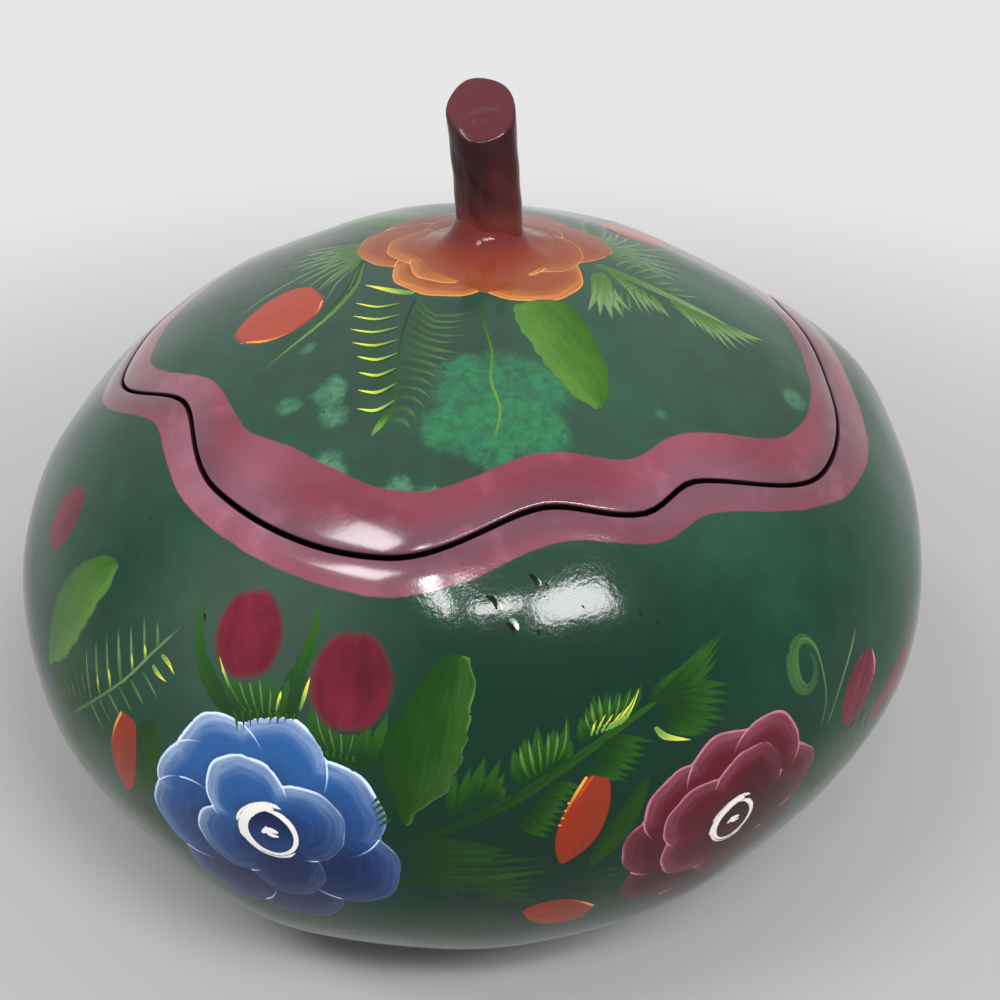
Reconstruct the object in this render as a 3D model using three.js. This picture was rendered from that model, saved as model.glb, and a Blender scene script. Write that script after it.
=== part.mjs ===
// A lidded gourd box, in millimetres, +Z up: one dried round gourd sawn in two along a wavy line.
// The lower shell is the bowl. The upper shell is the lid, with the gourd's own stalk as its handle.
// The origin is the middle of the flat that the gourd stands on, and its front faces -Y.
import * as THREE from 'three';

// The gourd's outer form: a round body, drawn a little flatter above the waist than below it.
const BODY_DIAMETER = 180;
const BODY_HEIGHT = 128;
const WAIST_HEIGHT = 66;
const UPPER_FULLNESS = 1.91;
const LOWER_FULLNESS = 2.16;
const BASE_FLAT_DIAMETER = 52;
const WALL = 5;
// Sideways lean of the grown gourd towards +X, per millimetre of height.
const LEAN = 0.05;

// Uneven growth: azimuth in degrees from the front towards +X, height, spread and rise of each swelling.
const SWELLINGS = [
  { azimuth: 120, height: 111, spread: 16, rise: -1.3 },
  { azimuth: 98, height: 97, spread: 13, rise: 1.7 },
  { azimuth: 62, height: 61, spread: 14, rise: 1.0 },
  { azimuth: 43, height: 44, spread: 14, rise: -0.9 },
  { azimuth: -22, height: 33, spread: 10, rise: 1.0 },
  { azimuth: -100, height: 99, spread: 14, rise: -0.6 },
  { azimuth: -160, height: 120, spread: 15, rise: 0.6 },
  { azimuth: -41, height: 40, spread: 10, rise: -0.6 },
  { azimuth: 150, height: 60, spread: 22, rise: 1.0 },
  { azimuth: -140, height: 50, spread: 22, rise: -1.0 },
];

// The saw cut: its mean distance below the crown, and how far each wave stands above that mean.
const LID_DEPTH = 20.5;
const WAVES = [
  { azimuth: -83, rise: -2.3 },
  { azimuth: -60, rise: 4.1 },
  { azimuth: -40, rise: -0.4 },
  { azimuth: -11, rise: -2.2 },
  { azimuth: 9, rise: 2.7 },
  { azimuth: 24, rise: 0.6 },
  { azimuth: 34, rise: 2.0 },
  { azimuth: 57, rise: -4.4 },
  { azimuth: 97, rise: 3.2 },
  { azimuth: 130, rise: -2.6 },
  { azimuth: 160, rise: 2.8 },
  { azimuth: 192, rise: -2.8 },
  { azimuth: 228, rise: 3.2 },
];
const SEAM_GAP = 0.3;
// Rounding of the two outer edges along the cut.
const EDGE_ROUND = 0.9;

// The stalk, let into a shallow socket in the crown and sawn off at a slant that faces the front.
const STALK_DIAMETER = 12.4;
const STALK_HEIGHT = 25;
const STALK_SLANT_DEGREES = 37;
const STALK_BEND = -1.5;
const STALK_RIBS = 5;
const STALK_RIB_DEPTH = 0.25;
const STALK_EDGE_ROUND = 0.7;
const SOCKET_DEPTH = 2.4;
const FIT_CLEARANCE = 0.3;

// The lumpy fillet of filler round the stalk's foot, reaching furthest at the front.
const COLLAR_HEIGHT = 4.2;
const COLLAR_REACH = 6.2;
const COLLAR_FRONT_REACH = 1.8;
const COLLAR_EDGE = 0.5;

// Facets round the shells, and round the stalk and its collar.
const SHELL_SEGMENTS = 80;
const STALK_SEGMENTS = 30;

const TURN = Math.PI * 2;
const BODY_RADIUS = BODY_DIAMETER / 2;
const BASE_RADIUS = BASE_FLAT_DIAMETER / 2;
const UPPER_RISE = BODY_HEIGHT - WAIST_HEIGHT;
const LOWER_DROP = WAIST_HEIGHT / (1 - (BASE_RADIUS / BODY_RADIUS) ** LOWER_FULLNESS) ** (1 / LOWER_FULLNESS);
const STALK_RADIUS = STALK_DIAMETER / 2;
const SOCKET_RADIUS = STALK_RADIUS + FIT_CLEARANCE;

const rad = THREE.MathUtils.degToRad;

// Angle up a meridian, 0 at the waist and a quarter turn at the crown, that reaches a height.
function angleAtHeight(height) {
  const above = height >= WAIST_HEIGHT;
  const reach = above ? UPPER_RISE : LOWER_DROP;
  const fullness = above ? UPPER_FULLNESS : LOWER_FULLNESS;
  const share = Math.min(Math.abs(height - WAIST_HEIGHT) / reach, 1);
  const angle = Math.asin(share ** (fullness / 2));
  return above ? angle : -angle;
}

// Angle near the crown at which the meridian has a given radius.
function angleAtRadius(radius) {
  return Math.acos((radius / BODY_RADIUS) ** (UPPER_FULLNESS / 2));
}

// Point and outward direction on the plain meridian, as radius and height.
function meridian(angle) {
  const above = angle >= 0;
  const fullness = above ? UPPER_FULLNESS : LOWER_FULLNESS;
  const reach = above ? UPPER_RISE : LOWER_DROP;
  const across = Math.max(Math.cos(angle), 0) ** (2 / fullness);
  const along = Math.abs(Math.sin(angle)) ** (2 / fullness);
  const sign = above ? 1 : -1;
  const outR = across ** (fullness - 1) / BODY_RADIUS;
  const outZ = (sign * along ** (fullness - 1)) / reach;
  const length = Math.hypot(outR, outZ);
  return {
    radius: BODY_RADIUS * across,
    height: WAIST_HEIGHT + sign * reach * along,
    outR: outR / length,
    outZ: outZ / length,
  };
}

// Places a radius and height at an azimuth, with the gourd's lean.
function place(radius, height, azimuth) {
  const x = radius * Math.sin(azimuth) + LEAN * height;
  return new THREE.Vector3(x, -radius * Math.cos(azimuth), height);
}

const swellings = SWELLINGS.map(({ azimuth, height, spread, rise }) => {
  const { radius } = meridian(angleAtHeight(height));
  return { centre: place(radius, height, rad(azimuth)), spread, rise };
});

// How far the skin stands out of the plain form at a point of it.
function swellAt(point) {
  let total = 0;
  for (const { centre, spread, rise } of swellings) {
    total += rise * Math.exp(-point.distanceToSquared(centre) / (2 * spread * spread));
  }
  return total;
}

// Point of the shell at an angle up the meridian, a depth under the skin and an azimuth.
function shellPoint(angle, depth, azimuth) {
  const { radius, height, outR, outZ } = meridian(angle);
  const swell = swellAt(place(radius, height, azimuth));
  const out = swell - depth;
  return place(Math.max(radius + out * outR, 0), Math.max(height + out * outZ, 0), azimuth);
}

// Height of the cut at an azimuth: a smooth closed wave through the listed points.
function seamHeight(azimuth) {
  const count = WAVES.length;
  const knot = (i) => {
    const turns = Math.floor(i / count);
    const wave = WAVES[i - turns * count];
    return { azimuth: rad(wave.azimuth) + turns * TURN, rise: wave.rise };
  };
  const start = rad(WAVES[0].azimuth);
  const angle = start + THREE.MathUtils.euclideanModulo(azimuth - start, TURN);
  let i = 0;
  while (knot(i + 1).azimuth <= angle) {
    i += 1;
  }
  const slope = (k) => {
    const before = knot(k - 1);
    const after = knot(k + 1);
    return (after.rise - before.rise) / (after.azimuth - before.azimuth);
  };
  const from = knot(i);
  const to = knot(i + 1);
  const span = to.azimuth - from.azimuth;
  const t = (angle - from.azimuth) / span;
  const rise =
    from.rise * (2 * t ** 3 - 3 * t ** 2 + 1) +
    slope(i) * span * (t ** 3 - 2 * t ** 2 + t) +
    to.rise * (3 * t ** 2 - 2 * t ** 3) +
    slope(i + 1) * span * (t ** 3 - t ** 2);
  return BODY_HEIGHT - LID_DEPTH + rise;
}

// Angle of the cut at an azimuth, moved along the meridian by a distance, upwards if positive.
function seamAngle(azimuth, along) {
  const angle = angleAtHeight(seamHeight(azimuth));
  const step = 0.01;
  const here = meridian(angle);
  const there = meridian(angle + step);
  const length = Math.hypot(there.radius - here.radius, there.height - here.height);
  return angle + (along * step) / length;
}

// Turns rows of points, each a function of azimuth, into one closed body.
function revolve(rows, segments) {
  const flat = rows.map((row) => {
    const point = row(0);
    return new THREE.Vector2(Math.hypot(point.x, point.y), point.z);
  });
  const geometry = new THREE.LatheGeometry(flat, segments);
  const { position, uv } = geometry.attributes;
  for (let i = 0; i < position.count; i += 1) {
    const row = rows[Math.round(uv.getY(i) * (rows.length - 1))];
    const turn = Math.round(uv.getX(i) * segments) % segments;
    const point = row((turn / segments) * TURN);
    position.setXYZ(i, point.x, point.y, point.z);
  }
  geometry.computeVertexNormals();
  return geometry;
}

// Rows of a shell's face from one angle to another; either end may vary with azimuth.
function faceRows(from, to, count, depth) {
  return Array.from({ length: count + 1 }, (_, i) => (azimuth) => {
    const angle = THREE.MathUtils.lerp(from(azimuth), to(azimuth), i / count);
    return shellPoint(angle, depth, azimuth);
  });
}

// Rows round the outer edge of the cut, from the skin to the cut face; side is 1 above the cut.
function edgeRows(side) {
  return [0.3, 0.7].map((share) => (azimuth) => {
    const turn = (share * Math.PI) / 2;
    const along = SEAM_GAP / 2 + EDGE_ROUND * (1 - Math.sin(turn));
    const depth = EDGE_ROUND * (1 - Math.cos(turn));
    return shellPoint(seamAngle(azimuth, side * along), depth, azimuth);
  });
}

const flatAngle = () => angleAtHeight(0);
const cutAngle = (side) => (azimuth) => seamAngle(azimuth, (side * SEAM_GAP) / 2);
const edgeAngle = (side) => (azimuth) => seamAngle(azimuth, side * (SEAM_GAP / 2 + EDGE_ROUND));
const cutRow = (side, depth) => (azimuth) => shellPoint(cutAngle(side)(azimuth), depth, azimuth);
const axisRow = (height) => () => place(0, height, 0);

function bowlGeometry() {
  const innerBottom = () => -Math.PI / 2;
  return revolve(
    [
      axisRow(0),
      ...faceRows(flatAngle, edgeAngle(-1), 15, 0),
      ...edgeRows(-1),
      cutRow(-1, EDGE_ROUND),
      ...faceRows(innerBottom, cutAngle(-1), 13, WALL).reverse(),
    ],
    SHELL_SEGMENTS,
  );
}

function lidGeometry() {
  const crown = () => Math.PI / 2;
  const socketAngle = () => angleAtRadius(SOCKET_RADIUS);
  return revolve(
    [
      ...faceRows(cutAngle(1), crown, 7, WALL).reverse(),
      cutRow(1, EDGE_ROUND),
      ...edgeRows(1).reverse(),
      ...faceRows(edgeAngle(1), socketAngle, 8, 0),
      (azimuth) => place(SOCKET_RADIUS, BODY_HEIGHT - SOCKET_DEPTH, azimuth),
      axisRow(BODY_HEIGHT - SOCKET_DEPTH),
    ],
    SHELL_SEGMENTS,
  );
}

// The stalk stands on its own axis over the crown, with height 0 at the crown.
function stalkGeometry() {
  const foot = FIT_CLEARANCE - SOCKET_DEPTH;
  const slope = Math.tan(rad(STALK_SLANT_DEGREES));
  const ring = (radius, share, drop) => (azimuth) => {
    const ribbed = share > 0 ? STALK_RIB_DEPTH * (1 - Math.cos(STALK_RIBS * azimuth)) : 0;
    const reach = Math.max(radius - ribbed, 0);
    const y = -reach * Math.cos(azimuth);
    const top = STALK_HEIGHT + slope * y - drop;
    const z = THREE.MathUtils.lerp(foot, top, share);
    const bend = STALK_BEND * Math.max(z / STALK_HEIGHT, 0) ** 2;
    return new THREE.Vector3(reach * Math.sin(azimuth) + bend, y, z);
  };
  const sides = [0, 0.2, 0.36, 0.52, 0.68, 0.84].map((share) => ring(STALK_RADIUS, share, 0));
  return revolve(
    [
      ring(0, 0, 0),
      ...sides,
      ring(STALK_RADIUS, 1, STALK_EDGE_ROUND),
      ring(STALK_RADIUS - STALK_EDGE_ROUND * 0.3, 1, STALK_EDGE_ROUND * 0.3),
      ring(STALK_RADIUS - STALK_EDGE_ROUND, 1, 0),
      ring(0, 1, 0),
    ],
    STALK_SEGMENTS,
  );
}

// The collar follows the dome below it and the stalk inside it, with height 0 at the crown.
function collarGeometry() {
  const inner = STALK_RADIUS + FIT_CLEARANCE;
  const domeDrop = (radius) => meridian(angleAtRadius(radius)).height - BODY_HEIGHT;
  const row = (share, lift) => (azimuth) => {
    const reach = COLLAR_REACH + COLLAR_FRONT_REACH * Math.cos(azimuth);
    const radius = inner + share * reach;
    const bed = domeDrop(radius) + FIT_CLEARANCE;
    return new THREE.Vector3(radius * Math.sin(azimuth), -radius * Math.cos(azimuth), bed + lift);
  };
  const slopeRow = (share) => row(share, COLLAR_EDGE + (COLLAR_HEIGHT - COLLAR_EDGE) * (1 - share) ** 2.2);
  const outside = [0.8, 0.6, 0.4, 0.2, 0].map(slopeRow);
  const bed = [0, 0.5, 1].map((share) => row(share, 0));
  return revolve([...bed, row(1, COLLAR_EDGE), ...outside, row(0, 0)], STALK_SEGMENTS);
}

function piece(name, geometry, colour, roughness) {
  const material = new THREE.MeshStandardMaterial({ color: colour, roughness, metalness: 0 });
  const mesh = new THREE.Mesh(geometry, material);
  mesh.name = name;
  return mesh;
}

const lacquerGreen = 0x28503f;
const stalkMaroon = 0x5a3432;
const collarRust = 0x8a3a22;

const gourdBox = new THREE.Group();
gourdBox.name = 'gourd_trinket_box';
gourdBox.add(piece('bowl', bowlGeometry(), lacquerGreen, 0.25));
gourdBox.add(piece('lid', lidGeometry(), lacquerGreen, 0.25));

const handle = new THREE.Group();
handle.position.copy(place(0, BODY_HEIGHT, 0));
handle.add(piece('stem', stalkGeometry(), stalkMaroon, 0.35));
handle.add(piece('stem_collar', collarGeometry(), collarRust, 0.3));
gourdBox.add(handle);

export default gourdBox;
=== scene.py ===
"""Gourd trinket box: lacquered shells, a stalk handle and folk flowers painted round a wavy lid."""
import math

import bpy
import numpy as np
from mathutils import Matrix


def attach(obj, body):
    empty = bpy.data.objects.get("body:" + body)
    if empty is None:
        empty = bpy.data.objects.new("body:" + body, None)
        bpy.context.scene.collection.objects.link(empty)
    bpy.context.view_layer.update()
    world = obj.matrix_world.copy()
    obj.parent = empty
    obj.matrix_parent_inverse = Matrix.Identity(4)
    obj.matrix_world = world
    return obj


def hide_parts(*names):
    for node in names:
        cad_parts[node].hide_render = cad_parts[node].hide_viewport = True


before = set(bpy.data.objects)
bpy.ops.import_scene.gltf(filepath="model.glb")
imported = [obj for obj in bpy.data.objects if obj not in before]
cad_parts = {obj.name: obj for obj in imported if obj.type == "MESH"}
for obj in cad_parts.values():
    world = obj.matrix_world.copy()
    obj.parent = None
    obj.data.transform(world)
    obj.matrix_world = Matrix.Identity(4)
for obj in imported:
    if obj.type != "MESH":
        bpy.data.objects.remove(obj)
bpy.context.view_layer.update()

bl_info = {
    "name": "Gourd Trinket Box",
    "version": (1, 0, 0),
    "blender": (4, 5, 0),
    "location": "3D View > Sidebar > Gourd Box",
    "description": "Builds a painted gourd box with a wavy lid on its construction frame",
    "category": "Add Mesh",
}

MM = 0.001
TURN = 2 * math.pi


def srgb(red, green, blue):
    """Linear colour of a paint given in the 0 to 255 values that a screen shows."""
    def linear(value):
        share = value / 255
        return share / 12.92 if share <= 0.04045 else ((share + 0.055) / 1.055) ** 2.4
    return (linear(red), linear(green), linear(blue))


def between(first, second, share):
    """Colour a share of the way from the first to the second."""
    return tuple(a + (b - a) * share for a, b in zip(first, second))


def colour_property(name, description, red, green, blue):
    """One paint that the user can change."""
    return bpy.props.FloatVectorProperty(
        name=name, description=description, subtype="COLOR", size=3, min=0, max=1,
        default=srgb(red, green, blue),
    )


def length_property(name, description, millimetres):
    """One size that the user can change."""
    return bpy.props.FloatProperty(
        name=name, description=description, default=millimetres * MM, min=0, unit="LENGTH", precision=5,
    )


class GourdSizes(bpy.types.PropertyGroup):
    """Sizes of the dressed box that a maker would change."""

    wall: length_property("Wall", "Thickness of the dried shell", 5.0)
    seam_gap: length_property("Seam gap", "Width of the open saw cut between bowl and lid", 0.7)
    seam_round: length_property("Seam rounding", "Radius of the worn edges along the saw cut", 0.55)
    band_rise: length_property("Band rise", "How far the thick pink band stands out of the skin", 0.16)
    film: length_property("Paint film", "Thickness of one layer of brushed paint", 0.035)
    stalk_radius: length_property("Stalk radius", "Mean radius of the stalk", 6.2)
    stalk_height: length_property("Stalk height", "Height of the stalk's cut above the crown", 25.5)
    collar_height: length_property("Collar height", "Height of the filler round the stalk's foot", 6.6)


class PaintColours(bpy.types.PropertyGroup):
    """Paints of the box."""

    ground: colour_property("Ground", "Green ground of the whole gourd", 18, 66, 47)
    # Deep ground, darkened further, also gives the painted shade behind the bowl's front bouquet.
    ground_deep: colour_property("Deep ground", "Darker clouds in the green ground", 8, 46, 32)
    worn: colour_property("Worn", "Pale worn clouds on the lid", 46, 117, 79)
    band: colour_property("Band", "Pink band along the cut", 117, 50, 64)
    band_dusk: colour_property("Band dusk", "Dusky smears in the band beside the cut", 98, 61, 74)
    cut: colour_property("Cut", "Stained faces of the saw cut", 36, 12, 17)
    inside: colour_property("Inside", "Bare dried shell inside", 150, 112, 70)
    stalk: colour_property("Stalk", "Maroon of the stalk", 80, 30, 32)
    stalk_deep: colour_property("Stalk furrows", "Darker furrows of the stalk", 42, 14, 16)
    rust: colour_property("Rust", "Red rust of the filler round the stalk", 118, 46, 34)
    salmon: colour_property("Salmon", "Petals round the stalk", 132, 67, 39)
    coral: colour_property("Coral", "Bud on the lid", 158, 68, 52)
    # Amber, blue light and maroon light are also the colours of the petals' painted light on their sunlit
    # side.
    amber: colour_property("Amber", "Bright edges of the salmon petals", 224, 150, 72)
    blue: colour_property("Blue", "Petals of the blue flower", 38, 84, 142)
    blue_deep: colour_property("Deep blue", "Hearts of the blue petals", 12, 28, 74)
    blue_light: colour_property("Blue light", "Brushed edges of the blue petals", 198, 218, 240)
    maroon: colour_property("Maroon", "Petals of the maroon flower", 84, 16, 31)
    maroon_deep: colour_property("Deep maroon", "Hearts of the maroon petals", 48, 6, 16)
    maroon_light: colour_property("Maroon light", "Brushed edges of the maroon petals", 196, 122, 146)
    bud_pink: colour_property("Bud pink", "Dusty pink tulip buds", 110, 28, 46)
    bud_fire: colour_property("Bud fire", "Orange red buds", 142, 40, 10)
    leaf: colour_property("Leaf", "Middle green of the leaves", 35, 80, 10)
    leaf_deep: colour_property("Deep leaf", "Shaded green of leaves and ferns", 12, 49, 8)
    leaf_light: colour_property("Leaf light", "Sunlit yellow green of the leaves", 94, 136, 60)
    yellow: colour_property("Yellow", "Yellow brush marks", 208, 208, 78)
    # White also pales the lid's top and a spot on the bowl as painted reflection, and is the tip colour of
    # the painted glints beside two chips.
    white: colour_property("White", "White rings in the flowers", 240, 236, 232)
    floor: colour_property("Floor", "Pale floor and backdrop", 172, 171, 170)


# Shape of the gourd, in millimetres and degrees, as in the part's own construction.
BODY_RADIUS = 90.0
CROWN = 128.0
WAIST = 66.0
UPPER_FULLNESS = 1.91
LOWER_FULLNESS = 2.16
BASE_RADIUS = 26.0
LEAN = 0.05
LID_DEPTH = 20.5
SOCKET_RADIUS = 6.5
SOCKET_DEPTH = 2.4
LOWER_DROP = WAIST / (1 - (BASE_RADIUS / BODY_RADIUS) ** LOWER_FULLNESS) ** (1 / LOWER_FULLNESS)

# Swellings of the grown shell: azimuth, height, spread and rise.
SWELLINGS = (
    (120, 111, 16, -1.3), (98, 97, 13, 1.7), (62, 61, 14, 1.0), (43, 44, 14, -0.9), (-22, 33, 10, 1.0),
    (-100, 99, 14, -0.6), (-160, 120, 15, 0.6), (-41, 40, 10, -0.6), (150, 60, 22, 1.0), (-140, 50, 22, -1.0),
)
# Waves of the cut: azimuth and rise above its mean height.
WAVES = (
    (-83, -2.3), (-60, 4.1), (-40, -0.4), (-11, -2.2), (9, 2.7), (24, 0.6), (34, 2.0), (57, -4.4),
    (97, 3.2), (130, -2.6), (160, 2.8), (192, -2.8), (228, 3.2),
)
# Width of the pink band above and below the cut, by azimuth.
LID_BAND = (
    (-90, 7.5), (-62, 5.4), (-44, 9.6), (-30, 12.6), (-12, 10.6), (8, 9.0), (20, 10.0), (31, 8.2),
    (45, 10.0), (70, 6.6), (92, 5.2), (125, 8.5), (160, 6.5), (195, 9.0), (230, 6.5),
)
BOWL_BAND = (
    (-75, 5.0), (-52, 6.0), (-38, 4.6), (-8, 5.8), (2, 6.9), (18, 4.8), (36, 5.6), (52, 4.6),
    (68, 8.0), (82, 8.8), (120, 6.0), (165, 5.2), (205, 6.6), (245, 5.6),
)
# Rosy stretches of the band: azimuth, spread in degrees and strength.
LID_ROSY = ((-63, 9, 0.3), (-35, 7, 0.18), (34, 9, 0.24), (150, 14, 0.3))
BOWL_ROSY = ((-45, 9, 0.5), (-30, 7, 0.3), (-15, 6, 0.16), (35, 16, 0.06), (190, 16, 0.4))
# Pale worn clouds on the lid: sideways and backward distance from the crown, reach and strength.
WORN_CLOUDS = (
    (3, -45, 11, 1.0), (-2, -41, 7, 0.9), (8, -42, 8, 0.9), (-4, -50, 6, 0.8), (9.5, -50, 7, 0.9),
    (3, -54, 5, 0.8), (-24.7, -39.5, 4, 0.8), (-24.4, -45, 4, 0.8), (-32.5, -41, 2.6, 0.75),
    (-30, -28, 2.4, 0.7), (-25, -54.5, 4.6, 0.85), (-12.5, -60.5, 3.4, 0.8), (-7.6, -61.5, 3.2, 0.75),
    (57.5, -28.5, 3.4, 0.7), (30.6, -43, 3, 0.6),
)
# Clouds with less reach than this are dusty.
SMALL_CLOUD = 4.8
# Slow unevenness of the lacquered skin: number of waves, their shortest and longest length, and rise.
UNEVEN_WAVES = 16
UNEVEN_LENGTHS = (16, 46)
UNEVEN_RISE = 0.035
# Step, in radians, over which the skin's directions are measured.
SKIN_STEP = 0.004


def smooth_curve(at, values, t):
    """Smooth curve through values at rising places, read at t."""
    slopes = np.empty_like(values)
    steps = (at[2:] - at[:-2]) if values.ndim == 1 else (at[2:] - at[:-2])[:, None]
    slopes[1:-1] = (values[2:] - values[:-2]) / steps
    slopes[0] = (values[1] - values[0]) / (at[1] - at[0])
    slopes[-1] = (values[-1] - values[-2]) / (at[-1] - at[-2])
    i = np.clip(np.searchsorted(at, t, side="right") - 1, 0, len(at) - 2)
    span = at[i + 1] - at[i]
    s = (t - at[i]) / span
    if values.ndim > 1:
        span, s = span[..., None], s[..., None]
    return (
        values[i] * (2 * s**3 - 3 * s**2 + 1) + slopes[i] * span * (s**3 - 2 * s**2 + s)
        + values[i + 1] * (3 * s**2 - 2 * s**3) + slopes[i + 1] * span * (s**3 - s**2)
    )


def closed_wave(knots, azimuth):
    """Smooth closed curve through (degrees, value) knots, read at azimuths in radians."""
    turns = np.array([knot[0] for knot in knots], float)
    values = np.tile([float(knot[1]) for knot in knots], 3)
    at = (np.degrees(azimuth) - knots[0][0]) % 360 + knots[0][0]
    return smooth_curve(np.concatenate([turns - 360, turns, turns + 360]), values, at)


def meridian(angle):
    """Radius, height and outward direction at an angle up the plain meridian, 0 at the waist."""
    above = angle >= 0
    fullness = np.where(above, UPPER_FULLNESS, LOWER_FULLNESS)
    reach = np.where(above, CROWN - WAIST, LOWER_DROP)
    sign = np.where(above, 1.0, -1.0)
    across = np.clip(np.cos(angle), 0, 1) ** (2 / fullness)
    along = np.abs(np.sin(angle)) ** (2 / fullness)
    out_r = across ** (fullness - 1) / BODY_RADIUS
    out_z = sign * along ** (fullness - 1) / reach
    length = np.hypot(out_r, out_z)
    return BODY_RADIUS * across, WAIST + sign * reach * along, out_r / length, out_z / length


def angle_at_height(height):
    """Angle up the meridian at a height."""
    height = np.asarray(height, float)
    above = height >= WAIST
    reach = np.where(above, CROWN - WAIST, LOWER_DROP)
    fullness = np.where(above, UPPER_FULLNESS, LOWER_FULLNESS)
    angle = np.arcsin(np.clip(np.abs(height - WAIST) / reach, 0, 1) ** (fullness / 2))
    return np.where(above, angle, -angle)


def place(radius, height, azimuth):
    """Point at a radius and height, turned to an azimuth from the front and leaned with the gourd."""
    return np.stack([radius * np.sin(azimuth) + LEAN * height, -radius * np.cos(azimuth), height], -1)


# Arc length up the meridian from the waist, for walking along the skin.
ARC_STEPS = 8000
ANGLES = np.linspace(-math.pi / 2, math.pi / 2, ARC_STEPS + 1)
ARC_R, ARC_Z = meridian(ANGLES)[:2]
ARCS = np.concatenate([[0], np.cumsum(np.hypot(np.diff(ARC_R), np.diff(ARC_Z)))])
ARCS -= np.interp(0, ANGLES, ARCS)
CROWN_ARC = ARCS[-1]
FLAT_ARC = float(np.interp(angle_at_height(0.0), ANGLES, ARCS))


def angle_at_arc(arc):
    """Angle up the meridian at an arc length above the waist."""
    return np.interp(arc, ARCS, ANGLES)


def arc_at_radius(radius):
    """Arc length of the ring of a given radius near the crown."""
    upper = ANGLES >= 0
    return np.interp(-np.asarray(radius, float), -ARC_R[upper], ARCS[upper])


def seam_arc(azimuth):
    """Arc length of the saw cut above the waist."""
    height = CROWN - LID_DEPTH + closed_wave(WAVES, azimuth)
    return np.interp(angle_at_height(height), ANGLES, ARCS)


SWELL_CENTRES = [
    place(*meridian(angle_at_height(height))[:2], math.radians(azimuth))
    for azimuth, height, _, _ in SWELLINGS
]
DRAWS = np.random.default_rng(11)
WAVE_LINES = DRAWS.normal(size=(UNEVEN_WAVES, 3))
WAVE_LENGTHS = DRAWS.uniform(*UNEVEN_LENGTHS, UNEVEN_WAVES)
WAVE_LINES *= (TURN / WAVE_LENGTHS / np.linalg.norm(WAVE_LINES, axis=1))[:, None]
WAVE_STARTS = DRAWS.uniform(0, TURN, UNEVEN_WAVES)


def swell(points):
    """How far the skin stands out of the plain form."""
    total = np.zeros(points.shape[:-1])
    for centre, (_, _, spread, rise) in zip(SWELL_CENTRES, SWELLINGS):
        total += rise * np.exp(-((points - centre) ** 2).sum(-1) / (2 * spread**2))
    for line, start in zip(WAVE_LINES, WAVE_STARTS):
        total += UNEVEN_RISE * np.sin(points @ line + start)
    return total


def shell(azimuth, angle, lift=0.0):
    """Points of the shell, lifted out of the skin, or sunk under it where lift is negative."""
    azimuth, angle, lift = np.broadcast_arrays(azimuth, angle, lift)
    radius, height, out_r, out_z = meridian(angle)
    out = swell(place(radius, height, azimuth)) + lift
    return place(np.maximum(radius + out * out_r, 0), np.maximum(height + out * out_z, 0), azimuth)


def skin_normals(azimuth, angle):
    """Outward directions of the uneven skin; the crown takes those of the ring just below it."""
    angle = np.minimum(angle, math.pi / 2 - 2 * SKIN_STEP)
    east = shell(azimuth + SKIN_STEP, angle) - shell(azimuth - SKIN_STEP, angle)
    north = shell(azimuth, angle + SKIN_STEP) - shell(azimuth, angle - SKIN_STEP)
    normals = np.cross(east, north)
    return normals / np.linalg.norm(normals, axis=-1, keepdims=True)


class Wire:
    """A shader socket that takes part in Python arithmetic."""

    def __init__(self, finish, socket):
        self.finish = finish
        self.socket = socket

    def math(self, operation, *values):
        """Math node on this socket and further values."""
        inputs = dict(enumerate((self,) + values))
        return self.finish.node("ShaderNodeMath", {"operation": operation}, inputs)

    def __add__(self, value):
        return self.math("ADD", value)

    __radd__ = __add__

    def __sub__(self, value):
        return self.math("SUBTRACT", value)

    def __rsub__(self, value):
        return self.finish.node("ShaderNodeMath", {"operation": "SUBTRACT"}, {0: value, 1: self})

    def __mul__(self, value):
        return self.math("MULTIPLY", value)

    __rmul__ = __mul__

    def __abs__(self):
        return self.math("ABSOLUTE")

    def least(self, value):
        """The smaller of this and a value."""
        return self.math("MINIMUM", value)

    def most(self, value):
        """The larger of this and a value."""
        return self.math("MAXIMUM", value)

    def smooth(self, low, high):
        """0 below low, 1 above high and a soft step between them."""
        return self.finish.node(
            "ShaderNodeMapRange", {"interpolation_type": "SMOOTHSTEP"},
            {"Value": self, "From Min": low, "From Max": high},
        )


# Depth in metres of the lacquer's orange peel, and roughness of the clear coat.
PEEL_DEPTH = 0.00006
COAT_ROUGHNESS = 0.1


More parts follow.
